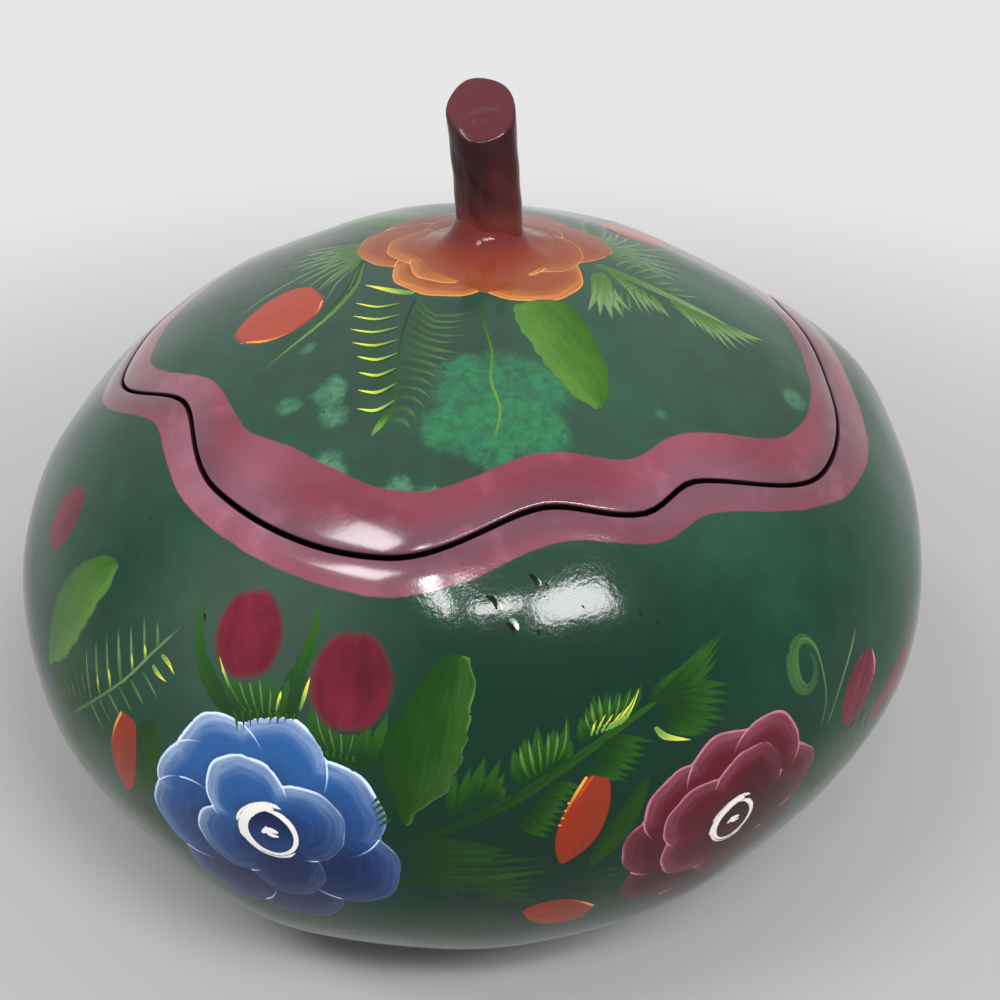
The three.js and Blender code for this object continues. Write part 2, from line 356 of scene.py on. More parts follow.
class Finish:
    """The nodes of one material, or of another owner of nodes."""

    def __init__(self, name, owner=None):
        self.material = owner or bpy.data.materials.new(name)
        self.material.use_nodes = True
        self.tree = self.material.node_tree
        self.tree.nodes.clear()
        self.place = self.node("ShaderNodeTexCoord", output="Object")

    def node(self, kind, settings=None, inputs=None, output=0):
        """Adds a node, sets it up, feeds its sockets and returns one of its outputs."""
        made = self.tree.nodes.new(kind)
        for key, value in (settings or {}).items():
            setattr(made, key, value)
        for key, value in (inputs or {}).items():
            if isinstance(value, Wire):
                self.tree.links.new(value.socket, made.inputs[key])
            elif made.inputs[key].type == "RGBA":
                made.inputs[key].default_value = (*value[:3], 1)
            else:
                made.inputs[key].default_value = value
        return Wire(self, made.outputs[output]) if made.outputs else None

    def attribute(self, name):
        """A number stored on the mesh."""
        return self.node("ShaderNodeAttribute", {"attribute_name": name}, output="Fac")

    def noise(self, scale, detail=3.0, where=None, roughness=0.55):
        """Cloudy noise about 0.5; scale is in blotches per metre of the object, or of where."""
        inputs = {"Vector": where or self.place, "Scale": scale, "Detail": detail, "Roughness": roughness}
        return self.node("ShaderNodeTexNoise", None, inputs)

    def stretch(self, x, y, z):
        """Object place with each axis scaled, for grain that runs one way."""
        return self.node("ShaderNodeVectorMath", {"operation": "MULTIPLY"}, {0: self.place, 1: (x, y, z)})

    def vector(self, x, y, z=0.0):
        """A vector from three numbers or wires."""
        return self.node("ShaderNodeCombineXYZ", None, {"X": x, "Y": y, "Z": z})

    def mix(self, first, second, share):
        """Colour between two colours."""
        return self.node("ShaderNodeMix", {"data_type": "RGBA"}, {0: share, 6: first, 7: second}, output=2)

    def bump(self, height, depth, **under):
        """Normal raised by a height, over another Normal if one is given."""
        inputs = {"Strength": 1.0, "Distance": depth, "Height": height, **under}
        return self.node("ShaderNodeBump", None, inputs, output="Normal")

    def lacquer(self, colour, roughness, peel=1.0, relief=None, relief_depth=0.0002, shine=0.18, coat=0.0):
        """Gloss lacquer with orange peel over a colour; relief adds a height of its own."""
        fine = self.noise(1150, 2.0)
        broad = self.noise(190, 1.0)
        normal = self.bump(fine * 0.3 + broad * 0.8, PEEL_DEPTH * peel)
        if relief is not None:
            normal = self.bump(relief, relief_depth, Normal=normal)
        inputs = {
            "Base Color": colour, "Roughness": roughness, "Normal": normal, "Specular IOR Level": shine,
            "Coat Weight": coat, "Coat Roughness": COAT_ROUGHNESS,
        }
        surface = self.node("ShaderNodeBsdfPrincipled", None, inputs)
        self.node("ShaderNodeOutputMaterial", None, {"Surface": surface})
        return self.material


class Brush(Finish):
    """A finish for brushed paint, which follows each stroke's own directions."""

    def __init__(self, name):
        super().__init__(name)
        self.along = self.attribute("along")
        self.across = self.attribute("across")
        self.rim = self.attribute("rim")
        self.seed = self.attribute("seed")

    def hairs(self, across=7.0, along=1.0, detail=3.0):
        """Streaks left by the brush's hairs along the stroke."""
        x, y = self.across * across + self.seed * 19, self.along * along + self.seed * 7
        return self.noise(1.0, detail, self.vector(x, y, self.seed * 3))


# Middles, in metres, of the painted shade on the ground behind the front's bouquet and of the painted pale
# reflection beside it.
PAINTED_SHADE_SPOT = (0.013, -0.0886, 0.074)
PAINTED_SHEEN_SPOT = (-0.03, -0.072, 0.098)


def ground(finish, colours):
    """Green ground with darker clouds, painted shade behind the front's bouquet, and painted pale reflection
    beside it and on the lid's top.
    """
    clouds = finish.noise(22, 4.0)
    mottle = finish.noise(160, 3.0)
    share = (clouds * 0.75 + mottle * 0.35).smooth(0.34, 0.74)
    colour = finish.mix(colours.ground_deep, colours.ground, share)
    measure = {"operation": "DISTANCE"}
    near_painted_shade, near_painted_sheen = (
        finish.node("ShaderNodeVectorMath", measure, {0: finish.place, 1: spot}, output="Value")
        for spot in (PAINTED_SHADE_SPOT, PAINTED_SHEEN_SPOT)
    )
    # Painted shade: the ground round the spot behind the front's bouquet is darkened toward black.
    shade = between((0.0, 0.0, 0.0), colours.ground_deep, 0.72)
    colour = finish.mix(colour, shade, (1 - near_painted_shade.smooth(0.014, 0.056)) * 0.9)
    # Painted reflection: the lid's top and a spot beside the front's bouquet are paled toward white as a pale
    # sheen.
    height = finish.node("ShaderNodeSeparateXYZ", None, {"Vector": finish.place}, output="Z")
    dust_and_sheen = (height.smooth(0.09, 0.122) * 0.024).most((1 - near_painted_sheen.smooth(0.004, 0.034)) * 0.032)
    return finish.mix(colour, colours.white, dust_and_sheen)


def shell_paint(colours, name):
    """Outside of the shells: green ground, worn clouds, specks, pink band and stained cut."""
    finish = Finish(name)
    colour = ground(finish, colours)
    blotch = finish.noise(95, 5.0)
    grit = finish.noise(2100, 3.0)
    worn = finish.attribute("worn") + (blotch - 0.5) * 1.1 + (grit - 0.5) * 0.2
    flakes_and_glints = finish.noise(420, 5.0, roughness=0.7).smooth(0.36, 0.64)
    thickness = 0.3 + flakes_and_glints * 0.45 + (grit - 0.5) * 0.5 + (finish.noise(60, 4.0) - 0.5) * 0.6
    worn = worn.smooth(0.36, 0.66) * thickness
    dusty = finish.mix(colours.worn, colours.white, finish.attribute("dust_and_sheen") * 0.08)
    colour = finish.mix(colour, dusty, worn)
    cells = {"Vector": finish.place, "Scale": 210.0, "Randomness": 1.0}
    spot = finish.node("ShaderNodeTexVoronoi", None, cells, output="Distance")
    tint = finish.node("ShaderNodeTexVoronoi", None, cells, output="Color")
    lot = finish.node("ShaderNodeSeparateColor", None, {"Color": tint}, output="Red")
    specks = (1 - spot.smooth(0.03, 0.085)) * lot.smooth(0.86, 0.88)
    colour = finish.mix(colour, colours.cut, specks * 0.8)
    seam = abs(finish.attribute("seam"))
    drift = finish.noise(70, 3.0) - 0.5
    inside_band = finish.attribute("band") - seam + drift * 1.4 + (blotch - 0.5) * 0.7
    band = inside_band.smooth(-0.15, 0.25)
    smears = (finish.noise(45, 5.0) + (1 - seam.smooth(0.5, 7.5)) * 0.4).smooth(0.4, 0.95)
    pink = finish.mix(colours.band, colours.band_dusk, smears)
    streaks = finish.noise(1.0, 4.0, finish.stretch(60, 60, 240)).smooth(0.35, 0.7)
    pink = finish.mix(pink, colours.maroon, streaks * 0.3)
    pale = finish.noise(130, 4.0).smooth(0.52, 0.75)
    rosy = finish.attribute("rosy") * (0.7 + (blotch - 0.5) * 1.4)
    pink = finish.mix(pink, colours.maroon_light, pale * 0.14 + rosy)
    colour = finish.mix(colour, pink, band)
    edge = finish.attribute("cut").smooth(0.3, 0.6)
    colour = finish.mix(colour, colours.cut, edge)
    roughness = 0.07 + blotch * 0.08 + worn * 0.2 + band * 0.03 + edge * 0.4
    return finish.lacquer(colour, roughness, coat=band * (1 - edge) * 0.42)


def bare_shell(colours, name):
    """Inside of the gourd: scraped, sealed and fibrous."""
    finish = Finish(name)
    fibres = finish.noise(1.0, 5.0, finish.stretch(420, 420, 60))
    clouds = finish.noise(34, 4.0)
    dark = between(colours.inside, colours.stalk_deep, 0.55)
    colour = finish.mix(dark, colours.inside, (fibres * 0.6 + clouds * 0.6).smooth(0.35, 0.8))
    return finish.lacquer(colour, 0.55 + fibres * 0.2, 1.5, fibres, 0.0003)


def stalk_paint(colours, name):
    """Maroon lacquer over the ribbed stalk, dark in the furrows, pale on the cut and rusty at the foot."""
    finish = Finish(name)
    furrows = finish.noise(1.0, 4.0, finish.stretch(420, 420, 40))
    clouds = finish.noise(90, 3.0)
    tone = furrows * 0.6 + clouds * 0.5
    colour = finish.mix(colours.stalk_deep, colours.stalk, tone.smooth(0.42, 0.85))
    face = finish.attribute("face") * (0.75 + clouds * 0.4)
    colour = finish.mix(colour, between(colours.stalk, colours.band_dusk, 0.25), face)
    foot = finish.attribute("foot").smooth(0.0, 1.0)
    colour = finish.mix(colour, between(colours.stalk, colours.rust, 0.5), foot * 0.9)
    grain = furrows * (1 - finish.attribute("face"))
    return finish.lacquer(colour, 0.13 + clouds * 0.08, 1.2, grain, 0.0002)


def collar_paint(colours, name):
    """Filler that runs from maroon at the stalk to rust and salmon where it meets the petals."""
    finish = Finish(name)
    clouds = finish.noise(150, 4.0)
    rise = finish.attribute("foot") + (clouds - 0.5) * 0.2
    share = finish.attribute("face") + (clouds - 0.5) * 0.35
    colour = finish.mix(colours.rust, colours.salmon, share.smooth(0.3, 1.0) * 0.95)
    dark = between(colours.stalk, colours.rust, 0.4)
    colour = finish.mix(colour, dark, rise.smooth(0.12, 0.6))
    return finish.lacquer(colour, 0.1 + clouds * 0.06, 1.8)


def petal_paint(name, deep, body, light, painted_light_haze, press_down, faintest):
    """Petal: dark heart, strokes that follow its edge and a pale line, strongest on its sunlit side; the
    stored tone is painted light, lighter with a pale haze on the sunlit side and darker away from it.
    """
    finish = Brush(name)
    tone = finish.attribute("tone")
    where = finish.vector(finish.rim * 0.9 + finish.seed * 9, finish.across * 0.8, finish.seed * 5)
    swirl = finish.noise(1.0, 5.0, where, 0.7)
    depth = finish.rim.smooth(0.5, 11.0)
    # Painted light: the tone makes each petal lighter on its sunlit side, and there it also gets a pale haze
    # near its edge.
    colour = finish.mix(deep, body, (tone + (swirl - 0.5) * 0.55 - depth * 0.3).smooth(-0.05, 0.78))
    painted_sun = tone.smooth(0.25, 0.9)
    glow = (1 - finish.rim.smooth(0.1, 4.2)) * (painted_sun * painted_light_haze + 0.04) * (swirl.smooth(0.3, 0.7) + 0.3)
    colour = finish.mix(colour, light, glow)
    wander = finish.noise(1.0, 2.0, finish.vector(finish.across * 1.1 + finish.seed * 11, finish.seed * 3))
    press = ((wander - 0.5) * 2.6 + painted_sun * 1.3 - 1.1 + press_down).most(faintest).least(press_down)
    thin = finish.rim + (swirl - 0.5) * 0.8 - press * 0.3
    line = (1 - thin.smooth(0.05, 0.4)) * press
    colour = finish.mix(colour, light, line)
    return finish.lacquer(colour, 0.12 + swirl * 0.07)


def ring_paint(colours, name, under):
    """White ring of a flower's heart, with gaps between the brush's hairs."""
    finish = Brush(name)
    hairs = finish.hairs(4.0, 14.0, 4.0)
    gaps = (finish.rim * 1.3 + hairs).smooth(0.46, 0.6)
    colour = finish.mix(under, colours.white, gaps)
    return finish.lacquer(colour, 0.22, 1.5, hairs, 0.0001)


def leaf_paint(colours, name, deep, body, light, bright, streak=0.8, lit_edge=0.0):
    """Leaf brushed with two greens at once; lit_edge is the strength of a light line along its right side."""
    finish = Brush(name)
    slanted = finish.across * 6.0 - finish.along * 3.0 + finish.seed * 19
    hairs = finish.noise(1.0, 6.0, finish.vector(slanted, finish.along * 2.0, finish.seed * 5), 0.7)
    cloud = finish.noise(1.0, 3.0, finish.vector(finish.across * 1.2, finish.along * 3.0, finish.seed * 9))
    tone = 0.5 - finish.across * 0.32 + (hairs - 0.5) * streak + (cloud - 0.5) * 0.9
    colour = finish.mix(deep, body, tone.smooth(0.0, 0.6))
    colour = finish.mix(colour, light, tone.smooth(0.4, 1.05) * bright)
    dry = (1 - finish.rim.smooth(0.0, 0.8)) * hairs.smooth(0.42, 0.54)
    colour = finish.mix(colour, ground(finish, colours), dry * 0.85)
    right_edge = (0 - finish.across).smooth(0.2, 0.7) * (1 - finish.rim.smooth(0.1, 0.55))
    colour = finish.mix(colour, light, right_edge * cloud.smooth(0.36, 0.62) * lit_edge)
    return finish.lacquer(colour, 0.13 + hairs * 0.08)


def bud_paint(colours, name, deep, body, light, soft, streak=1.0):
    """Closed bud with streaks along it; soft is how far its edge fades into the ground."""
    finish = Brush(name)
    hairs = finish.hairs(3.2, 1.1, 5.0)
    where = finish.vector(finish.across + finish.seed * 8, finish.along * 2, finish.seed)
    cloud = finish.noise(1.0, 2.0, where)
    tone = 0.5 + (hairs - 0.5) * streak + (cloud - 0.5) * 0.5
    colour = finish.mix(deep, body, tone.smooth(0.1, 0.7))
    colour = finish.mix(colour, light, tone.smooth(0.62, 1.05) * 0.4)
    fade = 1 - (finish.rim + (hairs - 0.5) * soft * 0.4).smooth(0.0, soft)
    colour = finish.mix(colour, ground(finish, colours), fade)
    return finish.lacquer(colour, 0.14 + hairs * 0.06)


def stroke_paint(colours, name, root, tip, cover, under=None):
    """Single brush stroke from root to tip colour; cover is how well it hides what is under it."""
    finish = Brush(name)
    hairs = finish.hairs(2.2, 2.0)
    colour = finish.mix(root, tip, (finish.along + (hairs - 0.5) * 0.6).smooth(0.1, 0.85))
    share = hairs * 0.7 + cover - 0.35 - finish.along.smooth(0.65, 1.0) * 0.25
    if cover < 1:
        share = share - (1 - finish.rim.smooth(0.0, 0.32)) * 0.4
    colour = finish.mix(ground(finish, colours) if under is None else under, colour, share)
    return finish.lacquer(colour, 0.13 + hairs * 0.06)


def chip_paint(colours, name):
    """Dull bare spot where the lacquer is gone."""
    finish = Brush(name)
    grit = finish.noise(900, 3.0)
    colour = finish.mix(colours.cut, colours.ground_deep, grit.smooth(0.3, 0.7))
    return finish.lacquer(colour, 0.7 + grit * 0.2, 1.0, grit, 0.0002, 0.05)


def add_piece(
    name, points, faces, body, materials, numbers, normals=None, replaced=None, face_slots=None,
):
    """Makes a mesh piece in metres, with its stored numbers, and lets it ride on a body."""
    mesh = bpy.data.meshes.new(name)
    mesh.from_pydata((np.asarray(points) * MM).tolist(), [], faces)
    for key, values in numbers.items():
        mesh.attributes.new(key, "FLOAT", "POINT").data.foreach_set("value", np.asarray(values, np.float32))
    for material in materials:
        mesh.materials.append(material)
    if face_slots is not None:
        mesh.polygons.foreach_set("material_index", np.asarray(face_slots, np.int32))
    mesh.shade_smooth()
    mesh.update()
    if mesh.validate():
        raise RuntimeError(f"{name} has faulty faces")
    if normals is not None:
        mesh.normals_split_custom_set_from_vertices(np.asarray(normals).tolist())
    piece = bpy.data.objects.new(name, mesh)
    bpy.context.scene.collection.objects.link(piece)
    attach(piece, body)
    if replaced:
        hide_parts(replaced)


def turned_faces(sizes, closed=False):
    """Faces of a turned form from its rows' point counts; a row of one point is on the axis."""
    starts = np.concatenate([[0], np.cumsum(sizes)])
    faces, row_of_face = [], []
    pairs = [(i, i + 1) for i in range(len(sizes) - 1)]
    if closed:
        pairs.append((len(sizes) - 1, 0))
    for low, high in pairs:
        count = max(sizes[low], sizes[high])
        for j in range(count):
            k = (j + 1) % count
            corners = [starts[low]] if sizes[low] == 1 else [starts[low] + j, starts[low] + k]
            corners += [starts[high]] if sizes[high] == 1 else [starts[high] + k, starts[high] + j]
            faces.append([int(c) for c in corners])
            row_of_face.append(low)
    return faces, np.array(row_of_face)


def around(columns):
    """Azimuths of the points of a ring."""
    return np.arange(columns) / columns * TURN


def wrapped(turn):
    """Angle brought between minus and plus half a turn."""
    return np.angle(np.exp(1j * turn))


SHELL_COLUMNS = 224
# Rows of points over the outside, up to the close rows beside the cut, and over the inside.
LID_ROWS = (22, 16)
BOWL_ROWS = (46, 34)
# Distances from the cut, in millimetres, of the close rows of skin beside it.
NEAR_SEAM = (18, 16, 14, 12.5, 11, 9.8, 8.6, 7.5, 6.5, 5.5, 4.6, 3.8, 3.1, 2.5, 2.0)
ROUNDING_ROWS = 7
# Share of the gap that lies on each side of the cut, and how much that swells at the front.
GAP_SHARE = 0.36
GAP_SWELL = 0.14
# Steps of the rows down the cut face past its rounded edge, and of the last one above the inside.
CUT_STEPS = (0.6, 1.6)
INNER_STEP = 0.5
# Crest and spread of the band's thick paint, as shares of the band's width.
BAND_CREST = 0.5
BAND_SPREAD = 0.42
# Distance from the cut that is stored where the band can't reach.
FAR_FROM_CUT = 60.0
# Spread of a worn cloud as a share of its reach.
CLOUD_SPREAD = 0.72


def seam_rows(sizes, band):
    """Distance from the cut and lift of each row beside it, from the open skin to the cut face."""
    rounding = sizes.seam_round / MM
    rise = sizes.band_rise / MM
    turns = np.linspace(0, math.pi / 2, ROUNDING_ROWS)
    rows = []
    for distance in list(NEAR_SEAM) + [rounding * (1 - math.sin(t)) for t in turns]:
        inward = max(rounding - distance, 0)
        drop = rounding - math.sqrt(rounding**2 - inward**2)
        thick = rise * np.exp(-(((distance - BAND_CREST * band) / (BAND_SPREAD * band)) ** 2))
        rows.append((distance, thick - drop))
    return rows


def skin_marks(points, rosy_spots, clouds):
    """Strengths of the rosy stretches, of the worn clouds and of their dust at each point of a shell."""
    rosy, worn, dust_and_sheen, axis = np.zeros((4, len(points)))
    flat = points - place(axis, points[:, 2], axis)
    turn = np.arctan2(flat[:, 0], -flat[:, 1])
    crown_distance = CROWN_ARC - np.interp(points[:, 2], ARC_Z, ARCS)
    across, back = crown_distance * np.sin(turn), -crown_distance * np.cos(turn)
    for middle, spread, strength in rosy_spots:
        apart = np.degrees(wrapped(turn - math.radians(middle)))
        rosy += strength * np.exp(-((apart / spread) ** 2))
    for x, y, reach, strength in clouds:
        cloud = strength * np.exp(-((across - x) ** 2 + (back - y) ** 2) / (2 * (reach * CLOUD_SPREAD) ** 2))
        worn = np.maximum(worn, cloud)
        if reach < SMALL_CLOUD:
            dust_and_sheen = np.maximum(dust_and_sheen, cloud)
    return {"worn": worn, "rosy": rosy, "dust_and_sheen": dust_and_sheen}


def shell_piece(context, name, side):
    """Builds one shell; side is 1 for the lid above the cut and -1 for the bowl below it."""
    sizes = context.scene.gourd_sizes
    colours = context.scene.gourd_colours
    wall = sizes.wall / MM
    rounding = sizes.seam_round / MM
    azimuth = around(SHELL_COLUMNS)
    if side > 0:
        band_knots, rosy_spots, clouds = LID_BAND, LID_ROSY, WORN_CLOUDS
        outer_count, inner_count = LID_ROWS
        outer_end, inner_end = arc_at_radius(SOCKET_RADIUS), CROWN_ARC
        axis_heights = (CROWN - SOCKET_DEPTH, CROWN - wall)
    else:
        band_knots, rosy_spots, clouds = BOWL_BAND, BOWL_ROSY, ()
        outer_count, inner_count = BOWL_ROWS
        outer_end, inner_end = FLAT_ARC, ARCS[0]
        axis_heights = (0.0, WAIST - LOWER_DROP + wall)
    band = closed_wave(band_knots, azimuth)
    half_gap = sizes.seam_gap / MM * (GAP_SHARE + GAP_SWELL * np.cos(azimuth))
    cut_arc = seam_arc(azimuth) + side * half_gap
    rows = []

    def add(arc, lift, cut, inner):
        arc = np.broadcast_to(arc, azimuth.shape)
        rows.append((shell(azimuth, angle_at_arc(arc), lift), arc - cut_arc, cut, inner))

    first_arc = cut_arc + side * NEAR_SEAM[0]
    for t in np.linspace(0, 1, outer_count, endpoint=False):
        add(outer_end + (first_arc - outer_end) * t, 0.0, 0.0, 0)
    for distance, lift in seam_rows(sizes, band):
        add(cut_arc + side * distance, lift, max(1 - distance / rounding, 0) ** 2, 0)
    for depth in (*(rounding + step for step in CUT_STEPS), wall - INNER_STEP, wall):
        add(cut_arc, -depth, 1.0, 0)
    for t in np.linspace(0, 1, inner_count + 1)[1:-1]:
        add(cut_arc + (inner_end - cut_arc) * t, -wall, 0.0, 1)
    if side > 0:
        ring = np.ones(SHELL_COLUMNS)
        socket = place(SOCKET_RADIUS * ring, axis_heights[0] * ring, azimuth)
        rows.insert(0, (socket, FAR_FROM_CUT * ring, 0.0, 0))
    middle = np.zeros(1)
    first, last = (
        (place(middle, middle + height, middle), middle + FAR_FROM_CUT, 0.0, inner)
        for inner, height in enumerate(axis_heights)
    )
    rows = [first] + rows + [last]
    if side > 0:
        rows.reverse()
    counts = [len(row[0]) for row in rows]
    faces, row_of_face = turned_faces(counts)
    inner_rows = np.array([row[3] for row in rows])
    inside = np.minimum(inner_rows[row_of_face], inner_rows[row_of_face + 1])
    points = np.concatenate([row[0] for row in rows])
    numbers = {
        "seam": np.concatenate([row[1] for row in rows]),
        "cut": np.repeat([row[2] for row in rows], counts),
        "band": np.concatenate([band if count > 1 else middle for count in counts]),
        **skin_marks(points, rosy_spots, clouds),
    }
    materials = [shell_paint(colours, f"{name}_lacquer"), bare_shell(colours, f"{name}_inside")]
    add_piece(
        f"{name}_shell", points, faces, name, materials, numbers,
        replaced=name, face_slots=inside,
    )


class GOURD_OT_bowl(bpy.types.Operator):
    """Lower shell of the gourd, with its pink band below the cut"""

    bl_idname = "gourd.bowl"
    bl_label = "Bowl"

    def execute(self, context):
        shell_piece(context, "bowl", -1)
        return {"FINISHED"}


class GOURD_OT_lid(bpy.types.Operator):
    """Upper shell of the gourd, with worn clouds and its pink band above the cut"""

    bl_idname = "gourd.lid"
    bl_label = "Lid"

    def execute(self, context):
        shell_piece(context, "lid", 1)
        return {"FINISHED"}


STALK_COLUMNS = 72
# Rows of points up the stalk, round its rounded edge and over its sawn face.
STALK_ROWS = 34
EDGE_ROWS = 7
FACE_ROWS = 12
STALK_SLANT = math.tan(math.radians(31))
STALK_SIDE_SLANT = 0.07
STALK_SHIFT = 0.8
STALK_BEND = -1.5
STALK_SEAT = 0.3
STALK_RIBS = 5
RIB_DEPTH = 0.36
KNOT_RISE = 0.2
# Share of the height over which the ribs grow, and the share of their depth that they lose above it.
RIBBED_SHARE = 0.6
RIB_LOSS = 0.75
EDGE_ROUND = 0.9
# Radians round the rounded edge over which the sawn face's look comes in.
EDGE_BLEND = 1.1
FACE_DISH = 0.2
# The sawn face rolls over towards the front and has one fold across it: its place, spreads and rise.
FACE_ROLL = 0.012
FACE_FOLD = (0.4, -2.4, 2.3, 1.0, 1.15)
FOLD_SLOPE = 0.12
# Height over the crown up to which the filler's rust stains the stalk, and the length over which it fades.
STAIN_HEIGHT = 6
STAIN_FADE = 3.0


class GOURD_OT_stalk(bpy.types.Operator):
    """Ribbed stalk, sawn off at a slant, which is the lid's handle"""

    bl_idname = "gourd.stalk"
    bl_label = "Stalk"

    def execute(self, context):
        sizes = context.scene.gourd_sizes
        radius, height = sizes.stalk_radius / MM, sizes.stalk_height / MM
        foot = STALK_SEAT - SOCKET_DEPTH
        azimuth = around(STALK_COLUMNS)
        crown = place(0.0, CROWN, 0.0)
        fold_x, fold_y, wide, deep, rise = FACE_FOLD
        rows, foots, faces_up = [], [], []

        def ring(reach, share, drop, face=0.0):
            grown = share**0.5 * (1 - RIB_LOSS * max(share - RIBBED_SHARE, 0) / (1 - RIBBED_SHARE))
            ribs = RIB_DEPTH * grown * (np.cos(STALK_RIBS * azimuth + 0.6 + share) - 1)
            knots = KNOT_RISE * grown * np.sin(3 * azimuth + 9 * share) * np.sin(14 * share + 2 * azimuth)
            girth = np.maximum(reach + (ribs + knots) * reach / radius, 0.02)
            x, y = girth * np.sin(azimuth), -girth * np.cos(azimuth)
            z = foot + (height + STALK_SLANT * y + STALK_SIDE_SLANT * x - drop - foot) * share
            along = y - fold_y - FOLD_SLOPE * x
            fold = rise * np.exp(-(((x - fold_x) / wide) ** 2) / 2 - (along / deep) ** 2 / 2)
            z = z + face * (fold - FACE_ROLL * np.minimum(y, 0) ** 2)
            bend = STALK_BEND * np.maximum(z / height, 0) ** 2
            rows.append(crown + np.stack([x + bend + STALK_SHIFT, y, z], -1))
            foots.append(np.exp(-np.maximum(z - STAIN_HEIGHT, 0) / STAIN_FADE))
            faces_up.append(np.full(STALK_COLUMNS, face))

        for share in np.linspace(0, 1, STALK_ROWS):
            ring(radius, share, EDGE_ROUND)
        for t in np.linspace(0, math.pi / 2, EDGE_ROWS)[1:]:
            inward, drop = EDGE_ROUND * (1 - math.cos(t)), EDGE_ROUND * (1 - math.sin(t))
            ring(radius - inward, 1.0, drop, min(1.0, t / EDGE_BLEND))
        for reach in np.arange(FACE_ROWS, 0, -1) / (FACE_ROWS + 1):
            ring((radius - EDGE_ROUND) * reach, 1.0, FACE_DISH * math.cos(reach * math.pi / 2), 1.0)
        points = [rows[0].mean(0)[None]] + rows + [rows[-1].mean(0)[None]]
        faces, _ = turned_faces([len(p) for p in points])
        numbers = {
            "foot": np.concatenate([[1.0]] + foots + [[0.0]]),
            "face": np.concatenate([[0.0]] + faces_up + [[1.0]]),
        }
        paint = stalk_paint(context.scene.gourd_colours, "stalk_maroon")
        add_piece(
            "stalk", np.concatenate(points), faces, "lid", [paint], numbers, replaced="stem",
        )
        return {"FINISHED"}


COLLAR_COLUMNS = 120
# Rows of points over the filler's top, and shares of its reach where its underside has rows.
COLLAR_ROWS = 26
COLLAR_UNDERSIDE = (0.0, 0.5, 1.0)
COLLAR_SINK = 0.15
COLLAR_EDGE = 0.05
COLLAR_UNDERLAP = 1.5
COLLAR_REACH = 8.7
# Share of its height that the filler climbs the stalk, the distance over which that falls off, and its apron.
COLLAR_CLIMB = 0.95
COLLAR_FALL = 1.6
COLLAR_APRON = 0.25
# How much further the filler runs at the front, and the spread of that run in radians.
COLLAR_FRONT_RUN = 4.6
FRONT_RUN_SPREAD = 0.55
# Runs and bubbles in the filler: azimuth, distance from the stalk, spread and rise in millimetres.
COLLAR_LUMPS = (
    (-4, 2.6, 1.5, 0.7), (10, 5.0, 1.3, 0.45), (-16, 4.6, 1.1, 0.4), (3, 8.2, 1.5, 0.5), (-34, 3.2, 1.8, 0.4),
    (30, 3.4, 1.7, 0.45), (62, 4.0, 2.2, 0.4), (-70, 4.0, 2.2, 0.35), (110, 3.6, 2.4, 0.4),
    (-120, 4.0, 2.4, 0.4), (165, 3.4, 2.6, 0.5), (-2, 3.8, 0.5, 0.35), (6, 3.0, 0.45, 0.3),
    (-9, 6.2, 0.5, 0.3), (13, 2.6, 0.45, 0.3),
)


class GOURD_OT_collar(bpy.types.Operator):
    """Lumpy filler round the foot of the stalk"""

    bl_idname = "gourd.collar"
    bl_label = "Stalk collar"

    def execute(self, context):
        sizes = context.scene.gourd_sizes
        inner = sizes.stalk_radius / MM - COLLAR_UNDERLAP
        height = sizes.collar_height / MM
        azimuth = around(COLLAR_COLUMNS)
        front = np.exp(-((wrapped(azimuth) / FRONT_RUN_SPREAD) ** 2))
        uneven = COLLAR_REACH + COLLAR_FRONT_RUN * front
        reach = uneven + 0.5 * np.sin(3 * azimuth + 1) + 0.35 * np.sin(7 * azimuth)
        rows, rises, shares = [], [], []

        def ring(share, lift):
            angle = angle_at_arc(arc_at_radius(inner + share * reach))
            rows.append(shell(azimuth, angle, lift))
            rises.append(np.broadcast_to(np.maximum(lift, 0) / height, azimuth.shape))
            shares.append(np.full(COLLAR_COLUMNS, share))

        for share in COLLAR_UNDERSIDE:
            ring(share, -COLLAR_SINK)
        for share in 1 - np.sin(np.linspace(0.04, 1, COLLAR_ROWS) * math.pi / 2):
            away = share * reach
            climb = COLLAR_CLIMB * np.exp(-away / COLLAR_FALL) + COLLAR_APRON * (1 - share) ** 2
            lift = COLLAR_EDGE + height * climb
            for turn, where, spread, rise in COLLAR_LUMPS:
                sideways = wrapped(azimuth - math.radians(turn)) * (inner + away)
                apart = sideways**2 + (away - where) ** 2
                lift = lift + rise * np.exp(-apart / (2 * spread**2)) * min(1, (1 - share) * 4)
            ring(share, lift)
        faces, _ = turned_faces([COLLAR_COLUMNS] * len(rows), closed=True)
        numbers = {"foot": np.concatenate(rises), "face": np.concatenate(shares)}
        paint = collar_paint(context.scene.gourd_colours, "collar_rust")
        add_piece(
            "stalk_collar", np.concatenate(rows), faces, "lid", [paint], numbers,
            replaced="stem_collar",
        )
        return {"FINISHED"}


class Side:
    """Chart of the gourd's side: distance round the waist from the front, and up the skin from the waist."""

    body = "bowl"

    def __init__(self, start=0.0, flip=1):
        self.start = start
        self.flip = flip

    def spot(self, right, up):
        """Azimuth and angle of a place on the chart."""
        return (self.start + self.flip * right) / BODY_RADIUS, angle_at_arc(up)


class Crown:
    """Chart of the lid: distances from the crown along the skin, to the right and to the back."""

    body = "lid"
    flip = 1

    def __init__(self, turn=0.0):
        self.turn = math.radians(turn)

    def spot(self, right, up):
        """Azimuth and angle of a place on the chart."""
        return np.arctan2(right, -up) + self.turn, angle_at_arc(CROWN_ARC - np.hypot(right, up))


FRONT = Side()
# The back of the bowl carries the same bouquet, turned end for end.
BACK = Side(math.pi * BODY_RADIUS, -1)
LID_FRONT = Crown()
LID_BACK = Crown(195)


